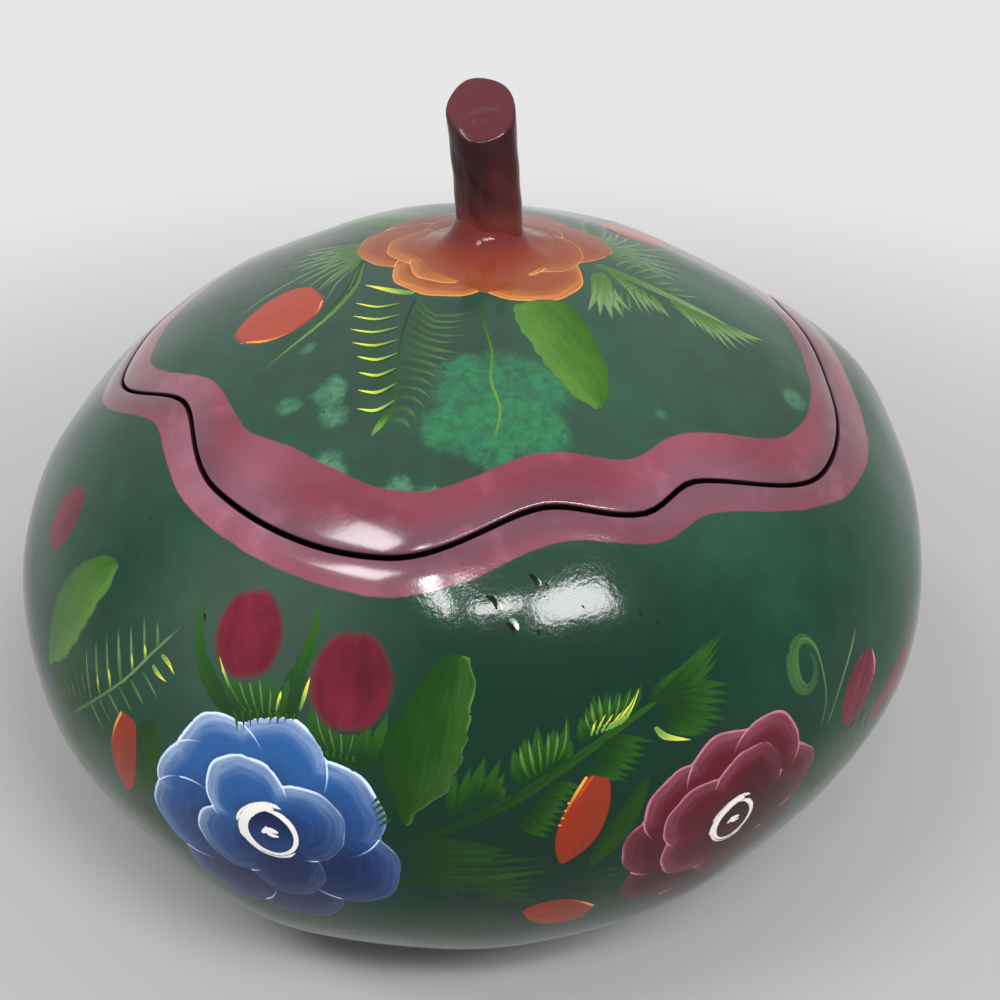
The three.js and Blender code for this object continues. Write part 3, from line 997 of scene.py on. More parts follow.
def along_line(points, shares):
    """Places at shares of the length of a smooth line through a few points."""
    points = np.asarray(points, float)
    lengths = np.linalg.norm(np.diff(points, axis=0), axis=1)
    return smooth_curve(np.concatenate([[0], np.cumsum(lengths)]) / lengths.sum(), points, np.asarray(shares))


class Film:
    """Gathers brush strokes into one thin closed mesh over the skin, or over the paint that is its bed."""

    EDGE_DEPTH = 0.012
    UNDER_DEPTH = 0.1
    STEP = 0.0002
    # Strokes narrower than the full half width on each side of their line lie lower.
    FULL_HALF = 0.45
    LEAST_HALF = 0.04
    STROKE_ROWS = 9
    PETAL_ROWS = 9
    PETAL_COLUMNS = 150
    # Least radius between the petals of a rosette, as a share of their mean reach.
    PETAL_FLOOR = 0.6

    def __init__(self, name, material, chart, lift, seed=1, bed=0.0, low=0.2):
        self.name = name
        self.material = material
        self.chart = chart
        self.lift = lift
        self.bed = bed
        self.low = low
        self.columns = 5 if bed else 3
        self.draws = np.random.default_rng(seed)
        self.points, self.normals, self.faces = [], [], []
        self.numbers = {"along": [], "across": [], "rim": [], "seed": [], "tone": []}
        self.count = 0
        self.strokes = 0

    def lay(self, flat, edge, faces, numbers, fullness=1.0):
        """Adds one closed sheet over chart places; edge marks where it dips under its bed."""
        azimuth, angle = self.chart.spot(flat[:, 0], flat[:, 1])
        normals = skin_normals(azimuth, angle)
        inner = np.flatnonzero(~edge)
        under = np.arange(len(flat))
        under[inner] = len(flat) + np.arange(len(inner))
        height = self.bed + fullness * (self.lift - self.bed) + self.STEP * self.strokes
        height = np.where(edge, self.bed - self.EDGE_DEPTH, height)
        self.points += [shell(azimuth, angle, height), shell(azimuth[inner], angle[inner], -self.UNDER_DEPTH)]
        self.normals += [normals, -normals[inner]]
        for key, stored in self.numbers.items():
            values = np.broadcast_to(numbers[key], len(flat))
            stored += [values, values[inner]]
        for face in faces:
            outward = face if self.chart.flip > 0 else face[::-1]
            self.faces.append([int(self.count + i) for i in outward])
            self.faces.append([int(self.count + under[i]) for i in reversed(outward)])
        self.count += len(flat) + len(inner)
        self.strokes += 1

    def stroke(self, line, width, rows=STROKE_ROWS, columns=None):
        """Adds a stroke along a line; width gives the half widths to its right and left at each share."""
        columns = columns or self.columns
        t = (1 - np.cos(np.linspace(0, math.pi, rows))) / 2
        line = along_line(line, t)
        tangent = np.gradient(line, axis=0)
        tangent /= np.linalg.norm(tangent, axis=1)[:, None]
        left = np.stack([-tangent[:, 1], tangent[:, 0]], -1)
        right_half, left_half = (np.maximum(half, self.LEAST_HALF)[:, None] for half in width(t))
        across = np.linspace(-1, 1, columns)[None]
        reach = np.where(across < 0, right_half, left_half)
        flat = line[:, None] + left[:, None] * (across * reach)[..., None]
        length = np.linalg.norm(np.diff(line, axis=0), axis=1).sum()
        ends = np.minimum(t, 1 - t)[:, None] * length
        rim = np.minimum((1 - np.abs(across)) * reach, ends)
        edge = np.ones((rows, columns), bool)
        edge[1:-1, 1:-1] = False
        grid = np.arange(rows * columns).reshape(rows, columns)
        faces = np.stack([grid[:-1, :-1], grid[1:, :-1], grid[1:, 1:], grid[:-1, 1:]], -1).reshape(-1, 4)
        numbers = {
            "along": np.repeat(t, columns), "across": np.tile(across[0], rows), "rim": rim.ravel(),
            "seed": self.draws.uniform(0, 1), "tone": 0.5,
        }
        fullness = np.clip(np.minimum(right_half, left_half) / self.FULL_HALF, self.low, 1)
        self.lay(flat.reshape(-1, 2), edge.ravel(), faces.tolist(), numbers, np.repeat(fullness, columns))

    def blade(self, line, half, root=0.5, rows=STROKE_ROWS):
        """Adds a stroke that is laid down full and lifted to a point."""
        self.stroke(line, blade_width(half, root), rows)

    def fan(self, roots, tips, count, half, bow=0.06, root=0.5):
        """Adds blades that spread from a line of roots to a line of tips."""
        shares = np.linspace(0, 1, count)
        for share, start, end in zip(shares, along_line(roots, shares), along_line(tips, shares)):
            end = end + (end - start) * self.draws.uniform(-0.1, 0.08)
            thick = half * self.draws.uniform(0.8, 1.15)
            self.blade(bowed(start, end, bow * (1 - 2 * share)), thick, root)

    def rosette(self, centre, petals, half, painted_sun_turn):
        """Adds a ring of round petals, given as (direction, reach), that merge into one scalloped sheet."""
        rows, columns = self.PETAL_ROWS, self.PETAL_COLUMNS
        turn = around(columns)
        radius, across, seed = np.zeros((3, columns))
        for degrees, reach in petals:
            apart = wrapped(turn - math.radians(degrees))
            distance = reach - half
            room = half**2 - (distance * np.sin(apart)) ** 2
            far = np.where(room > 0, distance * np.cos(apart) + np.sqrt(np.maximum(room, 0)), 0)
            lot = self.draws.uniform(0, 1)
            seed = np.where(far > radius, lot, seed)
            across = np.where(far > radius, reach * np.sin(apart) / half, across)
            radius = np.maximum(radius, far)
        radius = np.maximum(radius, self.PETAL_FLOOR * np.mean([reach for _, reach in petals]))
        phase = self.draws.uniform(0, TURN, 2)
        radius = radius * (1 + 0.012 * np.sin(7 * turn + phase[0]) + 0.008 * np.sin(17 * turn + phase[1]))
        shares = 1 - (1 - np.arange(1, rows + 1) / rows) ** 1.5
        spokes = np.stack([np.cos(turn), np.sin(turn)], -1)
        rings = (shares[:, None] * radius)[..., None] * spokes
        flat = np.concatenate([np.zeros((1, 2)), rings.reshape(-1, 2)]) + np.asarray(centre)
        edge = np.arange(len(flat)) > (rows - 1) * columns
        grid = np.arange(rows * columns).reshape(rows, columns) + 1
        after = np.roll(grid, -1, axis=1)
        faces = [(0, int(a), int(b)) for a, b in zip(grid[0], after[0])]
        faces += np.stack([grid[:-1], grid[1:], after[1:], after[:-1]], -1).reshape(-1, 4).tolist()
        # Painted light: the tone is lighter on the side of the flower toward the painted sun's direction and
        # darker away from it, more so toward the rim.
        light = 0.5 + 0.5 * shares[:, None] * np.cos(turn - math.radians(painted_sun_turn))
        numbers = {
            "along": np.concatenate([[0], np.repeat(shares, columns)]),
            "across": np.concatenate([[0], np.tile(across, rows)]),
            "rim": np.concatenate([[radius.mean()], ((1 - shares[:, None]) * radius).ravel()]),
            "seed": np.concatenate([[0], np.tile(seed, rows)]),
            "tone": np.concatenate([[0.5], light.ravel()]),
        }
        self.lay(flat, edge, faces, numbers)

    def finish(self):
        """Turns the gathered strokes into a piece."""
        numbers = {key: np.concatenate(values) for key, values in self.numbers.items()}
        add_piece(
            self.name, np.concatenate(self.points), self.faces, self.chart.body,
            [self.material], numbers, normals=np.concatenate(self.normals),
        )


def polar(centre, degrees, distance):
    """Point at a distance and direction from a centre on a chart."""
    turn = math.radians(degrees)
    return np.array([centre[0] + distance * math.cos(turn), centre[1] + distance * math.sin(turn)])


def bud_width(half, tip=0.6, base=0.6):
    """Half widths of a closed bud, blunter where the powers are small."""
    def width(t):
        full = half * np.sin(math.pi * np.clip(t, 0, 1) ** 0.95) ** np.where(t > 0.5, tip, base)
        return full, full
    return width


def outline_width(shares, rights, lefts, ragged=0.0):
    """Half widths through a few values at given shares; ragged breaks the right edge into brush ends."""
    phases = np.random.default_rng(1).uniform(0, TURN, 4)

    def width(t):
        teeth = sum(np.sin((19 + 13 * i) * t + phase) for i, phase in enumerate(phases)) * ragged / 2
        right = smooth_curve(np.array(shares), np.array(rights, float), t)
        left = smooth_curve(np.array(shares), np.array(lefts, float), t)
        return right + teeth, left - teeth * 0.3
    return width


def blade_width(half, root=0.5):
    """Half widths of a stroke that is laid down full and lifted to a point."""
    def width(t):
        swelling = np.clip(t / 0.3, 0, 1) ** 0.6 * (1 - root) + root
        full = half * np.minimum(swelling, (1 - np.clip(t, 0, 1)) ** 0.75 * 1.25)
        return full, full
    return width


def line_width(half, lopsided=0.0):
    """Half widths of a thin line with drawn-out ends; lopsided presses harder at its start."""
    def width(t):
        drawn_out = np.minimum(1, np.minimum(t, 1 - t) * 9 + 0.15)
        full = half * drawn_out * (1 + lopsided * np.cos(TURN * (t - 0.08)))
        return full, full
    return width


def bowed(root, tip, bow):
    """Three points of a stroke that bows to its left by a share of its length."""
    root, tip = np.array(root, float), np.array(tip, float)
    run = tip - root
    return [root, (root + tip) / 2 + bow * np.array([-run[1], run[0]]), tip]


def petal_arcs(film, centre, petals, half, sweep):
    """Thin lines where a petal's edge runs on over an earlier petal of its ring."""
    middles = [polar(centre, degrees, reach - half) for degrees, reach in petals]
    for i, middle in enumerate(middles):
        for other in middles[:i]:
            apart = np.linalg.norm(other - middle)
            if not 0.1 < apart < 1.7 * half:
                continue
            toward = math.atan2(*(other - middle)[::-1])
            spread = math.acos(apart / (2 * half))
            crossing = max((toward + spread, toward - spread), key=lambda a: np.hypot(
                *(middle + half * np.array([math.cos(a), math.sin(a)]) - centre)))
            step = math.radians(sweep) * (-1 if crossing > toward else 1)
            turns = [math.degrees(crossing + step * share) for share in np.linspace(0, 1, 5)]
            film.blade([polar(middle, turn, half) for turn in turns], 0.2, 0.7, rows=13)


# Strokes of a flower's white ring: first and last direction, share of the heart's size and half width.
HEART_RINGS = ((100, 470, 1.0, 0.13), (82, 222, 1.14, 0.15), (70, 176, 1.3, 0.07), (190, 335, 1.15, 0.06))
# Rise of the ring and of the dabs over the pupil, in millimetres.
HEART_RISE = 0.02
# Dabs of light in the heart: directions of both ends, bow and half width.
HEART_DABS = ((195, 20, 0.2, 0.15), (120, 350, -0.3, 0.12))


def flower_heart(chart, name, middle, across, tall, tilt, paints, lift, bed):
    """Dark pupil, brushed white ring and a dab of light in the middle of a flower."""
    ring_made, dark, dab_made = paints
    lean = math.radians(tilt)

    def oval(start, end, grow):
        turns = np.radians(np.arange(start, end + 1, 15))
        x, y = across * grow * np.cos(turns), tall * grow * np.sin(turns)
        right = middle[0] + x * math.cos(lean) - y * math.sin(lean)
        return np.stack([right, middle[1] + x * math.sin(lean) + y * math.cos(lean)], -1)

    pupil = Film(f"{name}_pupil", dark, chart, lift, bed=bed)
    ends = [polar(middle, 270 + tilt, tall), polar(middle, 90 + tilt, tall)]
    pupil.stroke(ends, bud_width(across, 0.5, 0.5), rows=13, columns=9)
    pupil.finish()
    ring = Film(f"{name}_ring", ring_made, chart, lift + HEART_RISE, seed=8, bed=bed)
    for start, end, grow, half in HEART_RINGS:
        ring.stroke(oval(start, end, grow), line_width(across * half, 0.3), rows=max(24, (end - start) // 5))
    ring.finish()
    dab = Film(f"{name}_dab", dab_made, chart, lift + HEART_RISE, seed=4, bed=lift)
    for start, end, bow, half in HEART_DABS:
        line = bowed(polar(middle, start, across * 0.34), polar(middle, end, across * 0.36), bow)
        dab.stroke(line, bud_width(across * half, 0.5, 0.5))
    dab.finish()


# Rings of petals as (direction, reach), lower petals first.
BLUE_OUTER = (
    (286, 22.4), (238, 24), (345, 23), (33, 21.6), (84, 21.6), (130, 21.8), (160, 21.2), (193, 22.6),
)
BLUE_INNER = ((292, 14.8), (214, 13.9), (29, 14.6), (118, 14.6))
MAROON_OUTER = (
    (315, 18.6), (258, 22.4), (217, 21.8), (178, 20.2), (20, 17.6), (143, 19.6), (103, 18.8), (64, 19.4),
)
MAROON_INNER = ((278, 14.6), (205, 13.8), (3, 13.0), (149, 14.6), (75, 14.4))
CROWN_OUTER = ((65, 24), (100, 23.4), (132, 24.6), (21, 24.8), (164, 24.8), (306, 22.8), (234, 20.8))
CROWN_INNER = ((50, 18), (110, 18), (350, 18.4), (172, 18.4), (300, 14.6), (232, 16.8))


class GOURD_OT_flowers(bpy.types.Operator):
    """Rosettes: salmon round the stalk, blue and maroon on the bowl's front and back"""

    bl_idname = "gourd.flowers"
    bl_label = "Flowers"

    # Height of the first ring's paint, and of each further ring over the one before, in layers of paint.
    PETAL_LIFT = 1.8
    RING_STEP = 0.8
    # Petals, their half width and the direction of their sunlit side, from which their painted light falls,
    # for each ring of the salmon flower.
    CROWN_RINGS = ((CROWN_OUTER, 10.6, 262), (CROWN_INNER, 8.6, 250))
    # Strength of the painted light haze on the sunlit side, and weight and faintest stroke of the bright
    # lines round its petals.
    CROWN_LINES = (0.36, 0.64, 0.4)
    # The bowl's flowers: colour, centre, middle of the heart, painted light haze and lines, rings, and the
    # heart's size and tilt.
    BOWL_FLOWERS = (
        ("blue", (-31.6, -0.6), (-30.6, -0.2), (0.34, 1.0, 0.06),
         ((BLUE_OUTER, 8.8, 110), (BLUE_INNER, 7.3, 120)), (4.5, 4.5, 0)),
        ("maroon", (45.3, -3.7), (45.3, -3.7), (0.16, 0.7, 0.06),
         ((MAROON_OUTER, 7.4, 100), (MAROON_INNER, 6.9, 150)), (3.5, 4.1, -12)),
    )
    # Degrees that the lines run on over the petals of the outer and of the inner ring.
    LINE_SWEEPS = (46, 22)

    def execute(self, context):
        colours = context.scene.gourd_colours
        film = context.scene.gourd_sizes.film / MM
        white = stroke_paint(colours, "white_dab", colours.white, colours.white, 1.5, colours.white)
        shades = (between(colours.rust, colours.salmon, 0.6), colours.salmon, colours.amber)
        lines, rings = self.CROWN_LINES, self.CROWN_RINGS
        self.rings("crown_flower", LID_FRONT, (0.0, 0.0), shades, lines, rings, film, colours)
        bowl_shades = {
            "blue": (colours.blue_deep, colours.blue, colours.blue_light),
            "maroon": (colours.maroon_deep, colours.maroon, colours.maroon_light),
        }
        for where, side in (("front", FRONT), ("back", BACK)):
            for name, centre, heart, lines, rings, oval in self.BOWL_FLOWERS:
                deep, body, light = bowl_shades[name]
                label = f"{name}_flower_{where}"
                top = self.rings(label, side, centre, (deep, body, light), lines, rings, film, colours)
                ring = ring_paint(colours, f"{label}_ring", body)
                dark = stroke_paint(colours, f"{label}_pupil", between(deep, body, 0.35), deep, 1.3, deep)
                flower_heart(side, label, heart, *oval, (ring, dark, white), top, top - self.RING_STEP * film)
        return {"FINISHED"}

    def rings(self, name, chart, centre, shades, brush, rings, film, colours):
        """Lays the rings of petals one over the other and returns the height above them."""
        deep, body, light = shades
        petals = petal_paint(f"{name}_petals", deep, body, light, *brush)
        lines = stroke_paint(colours, f"{name}_lines", light, body, 1.0, body)
        lift, bed = self.PETAL_LIFT * film, 0.0
        for layer, ((fans, half, painted_sun_turn), sweep) in enumerate(zip(rings, self.LINE_SWEEPS)):
            sheet = Film(f"{name}_petals_{layer + 1}", petals, chart, lift, seed=31 + layer, bed=bed)
            sheet.rosette(centre, fans, half, painted_sun_turn)
            sheet.finish()
            arcs = Film(f"{name}_lines_{layer + 1}", lines, chart, lift + film / 2, seed=51 + layer, bed=lift)
            petal_arcs(arcs, centre, fans, half, sweep)
            arcs.finish()
            lift, bed = lift + self.RING_STEP * film, lift
        return lift


class GOURD_OT_leaves(bpy.types.Operator):
    """Broad leaves brushed in two greens"""

    bl_idname = "gourd.leaves"
    bl_label = "Leaves"

    # Height of the paint in layers, and rows and columns of points in each leaf.
    LIFT = 1.05
    ROWS = 57
    COLUMNS = 9
    # Root, tip, shares of the length, and half widths to the right and left of the line at those shares.
    LID_LEAF = (
        (9.0, -19.6), (20.0, -44.0), (0, 0.1, 0.3, 0.5, 0.75, 0.9, 1),
        (4.4, 5.8, 6.0, 5.8, 4.7, 3.2, 1.0), (2.4, 5.4, 6.1, 5.8, 4.6, 2.8, 0.4),
    )
    BIG_LEAF = (
        (-9.0, 6.0), (-2.6, 33.0), (0, 0.13, 0.27, 0.43, 0.6, 0.8, 0.92, 1),
        (0.5, 1.8, 4.6, 5.4, 5.2, 4.7, 3.8, 2.2), (0.5, 3.0, 6.2, 7.6, 6.6, 4.8, 3.2, 1.0),
    )
    SIDE_LEAF = (
        (-86.0, 6.0), (-75.0, 31.2), (0, 0.3, 0.6, 0.9, 1),
        (0.4, 4.2, 4.0, 2.4, 0.6), (0.4, 6.0, 8.0, 4.4, 0.8),
    )
    ROUND_LEAF = (
        (-60.5, -7.0), (-53.5, 12.4), (0, 0.2, 0.5, 0.8, 1),
        (0.6, 4.0, 4.6, 3.6, 0.8), (0.6, 3.4, 4.2, 3.0, 0.6),
    )
    DARK_LEAF = (
        (20.0, -4.6), (28.8, 11.6), (0, 0.2, 0.5, 0.8, 1),
        (0.3, 1.9, 2.6, 1.6, 0.2), (0.3, 1.7, 2.0, 1.2, 0.2),
    )

    def execute(self, context):
        colours = context.scene.gourd_colours
        film = context.scene.gourd_sizes.film / MM
        deep, body, light = colours.leaf_deep, colours.leaf, colours.leaf_light
        bright = leaf_paint(colours, "leaf_bright", body, between(body, light, 0.3), light, 0.58, 0.6)
        middle = leaf_paint(colours, "leaf_middle", deep, between(deep, body, 0.28), light, 0.2, 0.9, 0.6)
        shade = leaf_paint(colours, "leaf_shade", deep, between(deep, body, 0.25), body, 0.3)
        for name, charts, leaf, paint, ragged in (
            ("lid_leaf", (LID_FRONT, LID_BACK), self.LID_LEAF, bright, 0.22),
            ("side_leaf", (FRONT, BACK), self.SIDE_LEAF, bright, 0.2),
            ("big_leaf", (FRONT, BACK), self.BIG_LEAF, middle, 0.24),
            ("round_leaf", (FRONT, BACK), self.ROUND_LEAF, shade, 0.05),
            ("dark_leaf", (FRONT, BACK), self.DARK_LEAF, shade, 0.05),
        ):
            root, tip, shares, rights, lefts = leaf
            for where, chart in zip(("front", "back"), charts):
                made = Film(f"{name}_{where}", paint, chart, self.LIFT * film, seed=12)
                width = outline_width(shares, rights, lefts, ragged)
                made.stroke([root, tip], width, self.ROWS, self.COLUMNS)
                made.finish()
        return {"FINISHED"}


class GOURD_OT_buds(bpy.types.Operator):
    """Tulip buds with soft edges, a crimson bud, orange buds and the lid's coral bud"""

    bl_idname = "gourd.buds"
    bl_label = "Buds"

    # Heights of the paints, and beds of the lines that lie on them, in layers of paint.
    BUD_LIFT = 1.4
    EDGE_LIFT = 1.8
    EDGE_BED = 0.7
    FLAME_LIFT = 2.0
    FLAME_EDGE_LIFT = 2.5
    FLAME_EDGE_BED = 1.0
    # Root, tip and half width of each bud.
    TULIPS = (
        ((-37.5, 24.0), (-42.6, 38.2), 7.4), ((-18.9, 19.6), (-20.8, 35.6), 7.9),
        ((-99.0, 21.5), (-100.0, 35.0), 6.4), ((79.0, -3.0), (96.0, 5.0), 4.6),
    )
    CRIMSON_BUD = ((70.2, 2.6), (79.0, 14.0), 5.0)
    CRIMSON_EDGE = ((79.0, 13.4), (79.6, 10.0), (77.6, 6.0), (73.6, 2.8))
    LID_BUD = ((-29.6, -10.6), (-44.8, -19.4), 7.0)
    # Shares of the lid bud's length, and its right and left half widths as shares of the one above.
    LID_BUD_OUTLINE = (
        (0, 0.06, 0.2, 0.5, 0.8, 0.94, 1),
        (0.2, 0.6, 0.9, 0.96, 0.72, 0.42, 0.1), (0.2, 0.62, 1.0, 1.18, 0.9, 0.5, 0.1),
    )
    # Bright lines on the lid bud, as shares of its length and of its half width, and their half widths.
    LID_BUD_RIMS = (
        (((0.97, 0.26), (0.75, 0.9), (0.52, 1.1), (0.27, 1.0)), 0.42),
        (((0.03, 0.36), (0.2, 0.88), (0.38, 1.06)), 0.34),
    )
    # Shares of the length and half widths of the flat-topped orange buds.
    FLAME_OUTLINE = ((0, 0.1, 0.28, 0.5, 0.72, 0.9, 1), (0.3, 1.7, 3.1, 3.7, 3.4, 2.5, 1.5))
    # Root, tip and size of each orange bud, and the shares of its length where short marks cross its edge.
    FLAME_BUDS = (
        ((-61.8, -7.0), (-59.4, 10.6), 1.0, ()),
        ((15.4, -2.8), (20.8, 13.0), 1.02, (0.45, 0.53, 0.61, 0.69)),
        ((10.4, -14.4), (21.8, -19.2), 1.25, ()),
    )
    # Bright edge of an orange bud, as shares of its length and of its edge's distance from its line.
    FLAME_EDGE = ((0.97, 0.6), (0.72, 0.88), (0.42, 1.0))
    FLAME_EDGE_REACH = 3.4

    def execute(self, context):
        colours = context.scene.gourd_colours
        film = context.scene.gourd_sizes.film / MM
        pink, deep, light = colours.bud_pink, colours.maroon_deep, colours.maroon_light
        fire, rust, amber, red = colours.bud_fire, colours.rust, colours.amber, colours.coral
        tulip = bud_paint(colours, "bud_tulip", deep, pink, light, 1.9, 0.32)
        crimson = bud_paint(colours, "bud_crimson", deep, pink, light, 0.7)
        flame = bud_paint(colours, "bud_flame", rust, fire, amber, 0.35, 1.5)
        dusky, pale = between(red, rust, 0.4), between(red, colours.white, 0.2)
        coral = bud_paint(colours, "bud_coral", dusky, red, pale, 1.3, 0.5)
        edges = stroke_paint(colours, "bud_edges", amber, fire, 1.0, fire)
        rosy = stroke_paint(colours, "bud_rosy_edges", light, pink, 1.0, pink)
        for where, side, crown in (("front", FRONT, LID_FRONT), ("back", BACK, LID_BACK)):
            soft = Film(f"tulip_buds_{where}", tulip, side, self.BUD_LIFT * film, seed=21)
            for root, tip, half in self.TULIPS:
                soft.stroke([root, tip], bud_width(half, 0.45, 0.5), rows=19, columns=13)
            soft.finish()
            tall = Film(f"crimson_bud_{where}", crimson, side, self.BUD_LIFT * film, seed=22)
            root, tip, half = self.CRIMSON_BUD
            tall.stroke([root, tip], bud_width(half, 0.85, 0.5), rows=19, columns=13)
            tall.finish()
            lift, bed = self.EDGE_LIFT * film, self.EDGE_BED * film
            rosy_edge = Film(f"crimson_edge_{where}", rosy, side, lift, bed=bed)
            rosy_edge.blade(self.CRIMSON_EDGE, 0.4, 0.4, rows=13)
            rosy_edge.finish()
            flames = Film(f"flame_buds_{where}", flame, side, self.FLAME_LIFT * film, seed=23)
            flame_lift, flame_bed = self.FLAME_EDGE_LIFT * film, self.FLAME_EDGE_BED * film
            trim = Film(f"flame_edges_{where}", edges, side, flame_lift, seed=24, bed=flame_bed)
            self.flames(flames, trim)
            flames.finish()
            trim.finish()
            lid_bud = Film(f"lid_bud_{where}", coral, crown, self.BUD_LIFT * film, seed=25)
            rims = Film(f"lid_bud_edge_{where}", edges, crown, lift, seed=26, bed=bed)
            self.lid_bud(lid_bud, rims)
            lid_bud.finish()
            rims.finish()
        return {"FINISHED"}

    @staticmethod
    def beside(root, tip, half):
        """Function from shares of a bud's length and of its half width to places on the chart."""
        root, run = np.array(root), np.array(tip) - root
        over = np.array([-run[1], run[0]]) / np.linalg.norm(run) * half
        return lambda share, side_share: root + run * share + over * side_share

    def flames(self, flames, trim):
        """Orange buds, with a bright edge and short marks across it."""
        shares, halves = self.FLAME_OUTLINE
        for root, tip, size, marks in self.FLAME_BUDS:
            sized = [half * size for half in halves]
            flames.stroke([root, tip], outline_width(shares, sized, sized), rows=23, columns=9)
            spot = self.beside(root, tip, self.FLAME_EDGE_REACH * size)
            trim.blade([spot(*edge) for edge in self.FLAME_EDGE], 0.34, 0.6, rows=11)
            for share in marks:
                trim.blade([spot(share, 1.05), spot(share, 0.77)], 0.2, 0.8, rows=7)

    def lid_bud(self, bud, rims):
        """Coral bud on the lid with two bright lines along its edge."""
        root, tip, half = self.LID_BUD
        shares, rights, lefts = self.LID_BUD_OUTLINE
        rights, lefts = [half * share for share in rights], [half * share for share in lefts]
        bud.stroke([root, tip], outline_width(shares, rights, lefts), rows=25, columns=13)
        spot = self.beside(root, tip, half)
        for line, thick in self.LID_BUD_RIMS:
            rims.blade([spot(*edge) for edge in line], thick, 0.45, rows=15)


class GOURD_OT_ferns(bpy.types.Operator):
    """Ferns, fronds, sepals and grass, each barb one lifted brush stroke"""

    bl_idname = "gourd.ferns"
    bl_label = "Ferns and grass"

    SEED = 41
    # The lid, which is seen at a low angle, has thinner layers of paint.
    LID_LAYER = 0.75
    LID_RACHIS = ((-11.5, -16.5), (-13.6, -27.0), (-14.1, -37.0), (-14.3, -44.0), (-16.4, -48.8))
    LID_VINE = ((-0.5, -19.6), (0.2, -27.0), (1.6, -34.0), (1.5, -40.0), (3.2, -46.6), (2.0, -53.4))
    # Roots and tips of the yellow barbs to the left of the lid's fern and of the soft ones to its right.
    YELLOW_BARBS = (
        ((-14.4, -19.4), (-14.3, -28.0), (-14.1, -36.0), (-14.0, -43.2)),
        ((-22.6, -17.2), (-22.8, -26.0), (-20.9, -34.1), (-20.4, -44.2)),
    )
    SOFT_BARBS = (
        ((-12.0, -18.0), (-14.0, -37.0), (-15.6, -47.5)),
        ((-1.5, -23.0), (-4.0, -35.0), (-7.5, -43.0), (-11.0, -50.0)),
    )
    # First share of the fern with barbs, and numbers of yellow and soft barbs, on the lid's front and back.
    FRONT_BARBS = (0.0, 8, 14)
    BACK_BARBS = (0.66, 4, 6)
    SIDE_RACHIS = ((-76.7, 1.2), (-69.3, 8.4), (-62.0, 16.1), (-57.6, 22.7), (-53.8, 28.2))
    # Roots and tips of the barbs above the side fern's stem, and shares along them that have yellow feet.
    SIDE_BARBS = (
        ((-70.3, 8.2), (-64.2, 13.9), (-58.9, 20.6), (-57.0, 23.4)),
        ((-73.9, 16.3), (-69.9, 20.6), (-62.8, 26.6), (-59.7, 27.6)),
    )
    YELLOW_FEET = (0.16, 0.34, 0.67, 0.84)
    FROND = ((-8.9, 2.2), (5.5, 9.6), (20.5, 18.1), (33.6, 23.8), (45.1, 28.0))
    # Clusters of the frond: paint, roots, tips, number of strokes and half width.
    FROND_CLUSTERS = (
        ("dark", ((-8.9, 1.2), (-7.0, -5.0)), ((5.8, 2.5), (8.0, 0.8), (5.4, -5.8), (8.6, -8.0)), 9, 1.5),
        ("dark", ((-6.0, -4.0), (2.0, -8.0)), ((12.0, -1.0), (14.0, -5.0), (13.0, -12.0)), 7, 1.3),
        ("dark", ((-9.0, -12.0), (4.0, -14.0)), ((-12.0, -21.0), (-2.0, -25.0), (9.0, -22.0)), 8, 1.4),
        ("dark", ((20.0, -12.0), (24.0, -10.0)), ((19.0, -22.0), (26.0, -20.0), (31.0, -14.0)), 7, 1.1),
        ("green", ((-8.9, 1.2), (-7.0, -5.0)), ((5.0, 2.2), (7.4, 0.6), (5.0, -5.6), (8.0, -7.6)), 7, 0.6),
        ("green", ((-1.8, 7.6), (4.3, 11.7)), ((-1.4, 15.0), (2.6, 17.5), (5.3, 17.4), (6.2, 12.6)), 6, 1.45),
        ("green", ((9.1, 13.0), (14.3, 15.9)),
         ((7.3, 18.6), (9.4, 21.6), (13.5, 22.1), (15.8, 22.8), (16.4, 19.6)), 6, 1.6),
        ("green", ((19.0, 18.6), (25.2, 21.4)),
         ((18.0, 22.4), (19.8, 25.4), (24.3, 25.4), (28.8, 25.8)), 7, 1.3),
        ("green", ((29.9, 22.7), (31.6, 22.0)), ((36.4, 26.8), (45.4, 30.2), (42.4, 24.6)), 10, 1.05),
        ("green", ((32.2, 23.3), (32.1, 19.6)),
         ((44.6, 21.8), (43.5, 17.5), (40.0, 15.1), (36.4, 15.8)), 10, 1.1),
        ("green", ((21.5, 18.2), (18.5, 14.2)),
         ((29.8, 16.6), (27.5, 12.9), (25.9, 11.0), (23.0, 12.0)), 9, 1.0),
        ("green", ((13.0, 12.8), (8.4, 7.0)), ((18.2, 11.2), (15.6, 8.5), (14.4, 5.4), (13.2, 3.4)), 9, 1.0),
        ("lit", ((9.8, 14.0), (14.2, 16.4)), ((8.2, 19.0), (10.6, 20.6), (13.6, 21.0), (15.6, 22.2)), 6, 0.5),
        ("lit", ((20.0, 19.6), (24.8, 21.2)),
         ((18.8, 23.0), (20.4, 25.0), (24.2, 24.8), (28.4, 25.6)), 7, 0.6),
        ("yellow", ((19.6, 19.4), (24.4, 20.4)),
         ((20.6, 21.8), (22.8, 22.4), (25.6, 22.6), (28.6, 25.6)), 7, 0.5),
    )
    # Shares of the curled tendril's length and its half widths there.
    TENDRIL_OUTLINE = ((0, 0.25, 0.45, 0.62, 0.8, 1), (0.22, 0.26, 0.8, 1.6, 1.2, 0.6))
    # Yellow strokes on the sepals.
    SEPAL_LIGHTS = (
        ((-40.7, 22.2), (-44.3, 26.4)), ((-27.5, 22.0), (-26.9, 27.2)), ((-31.6, 21.2), (-31.4, 24.2)),
    )
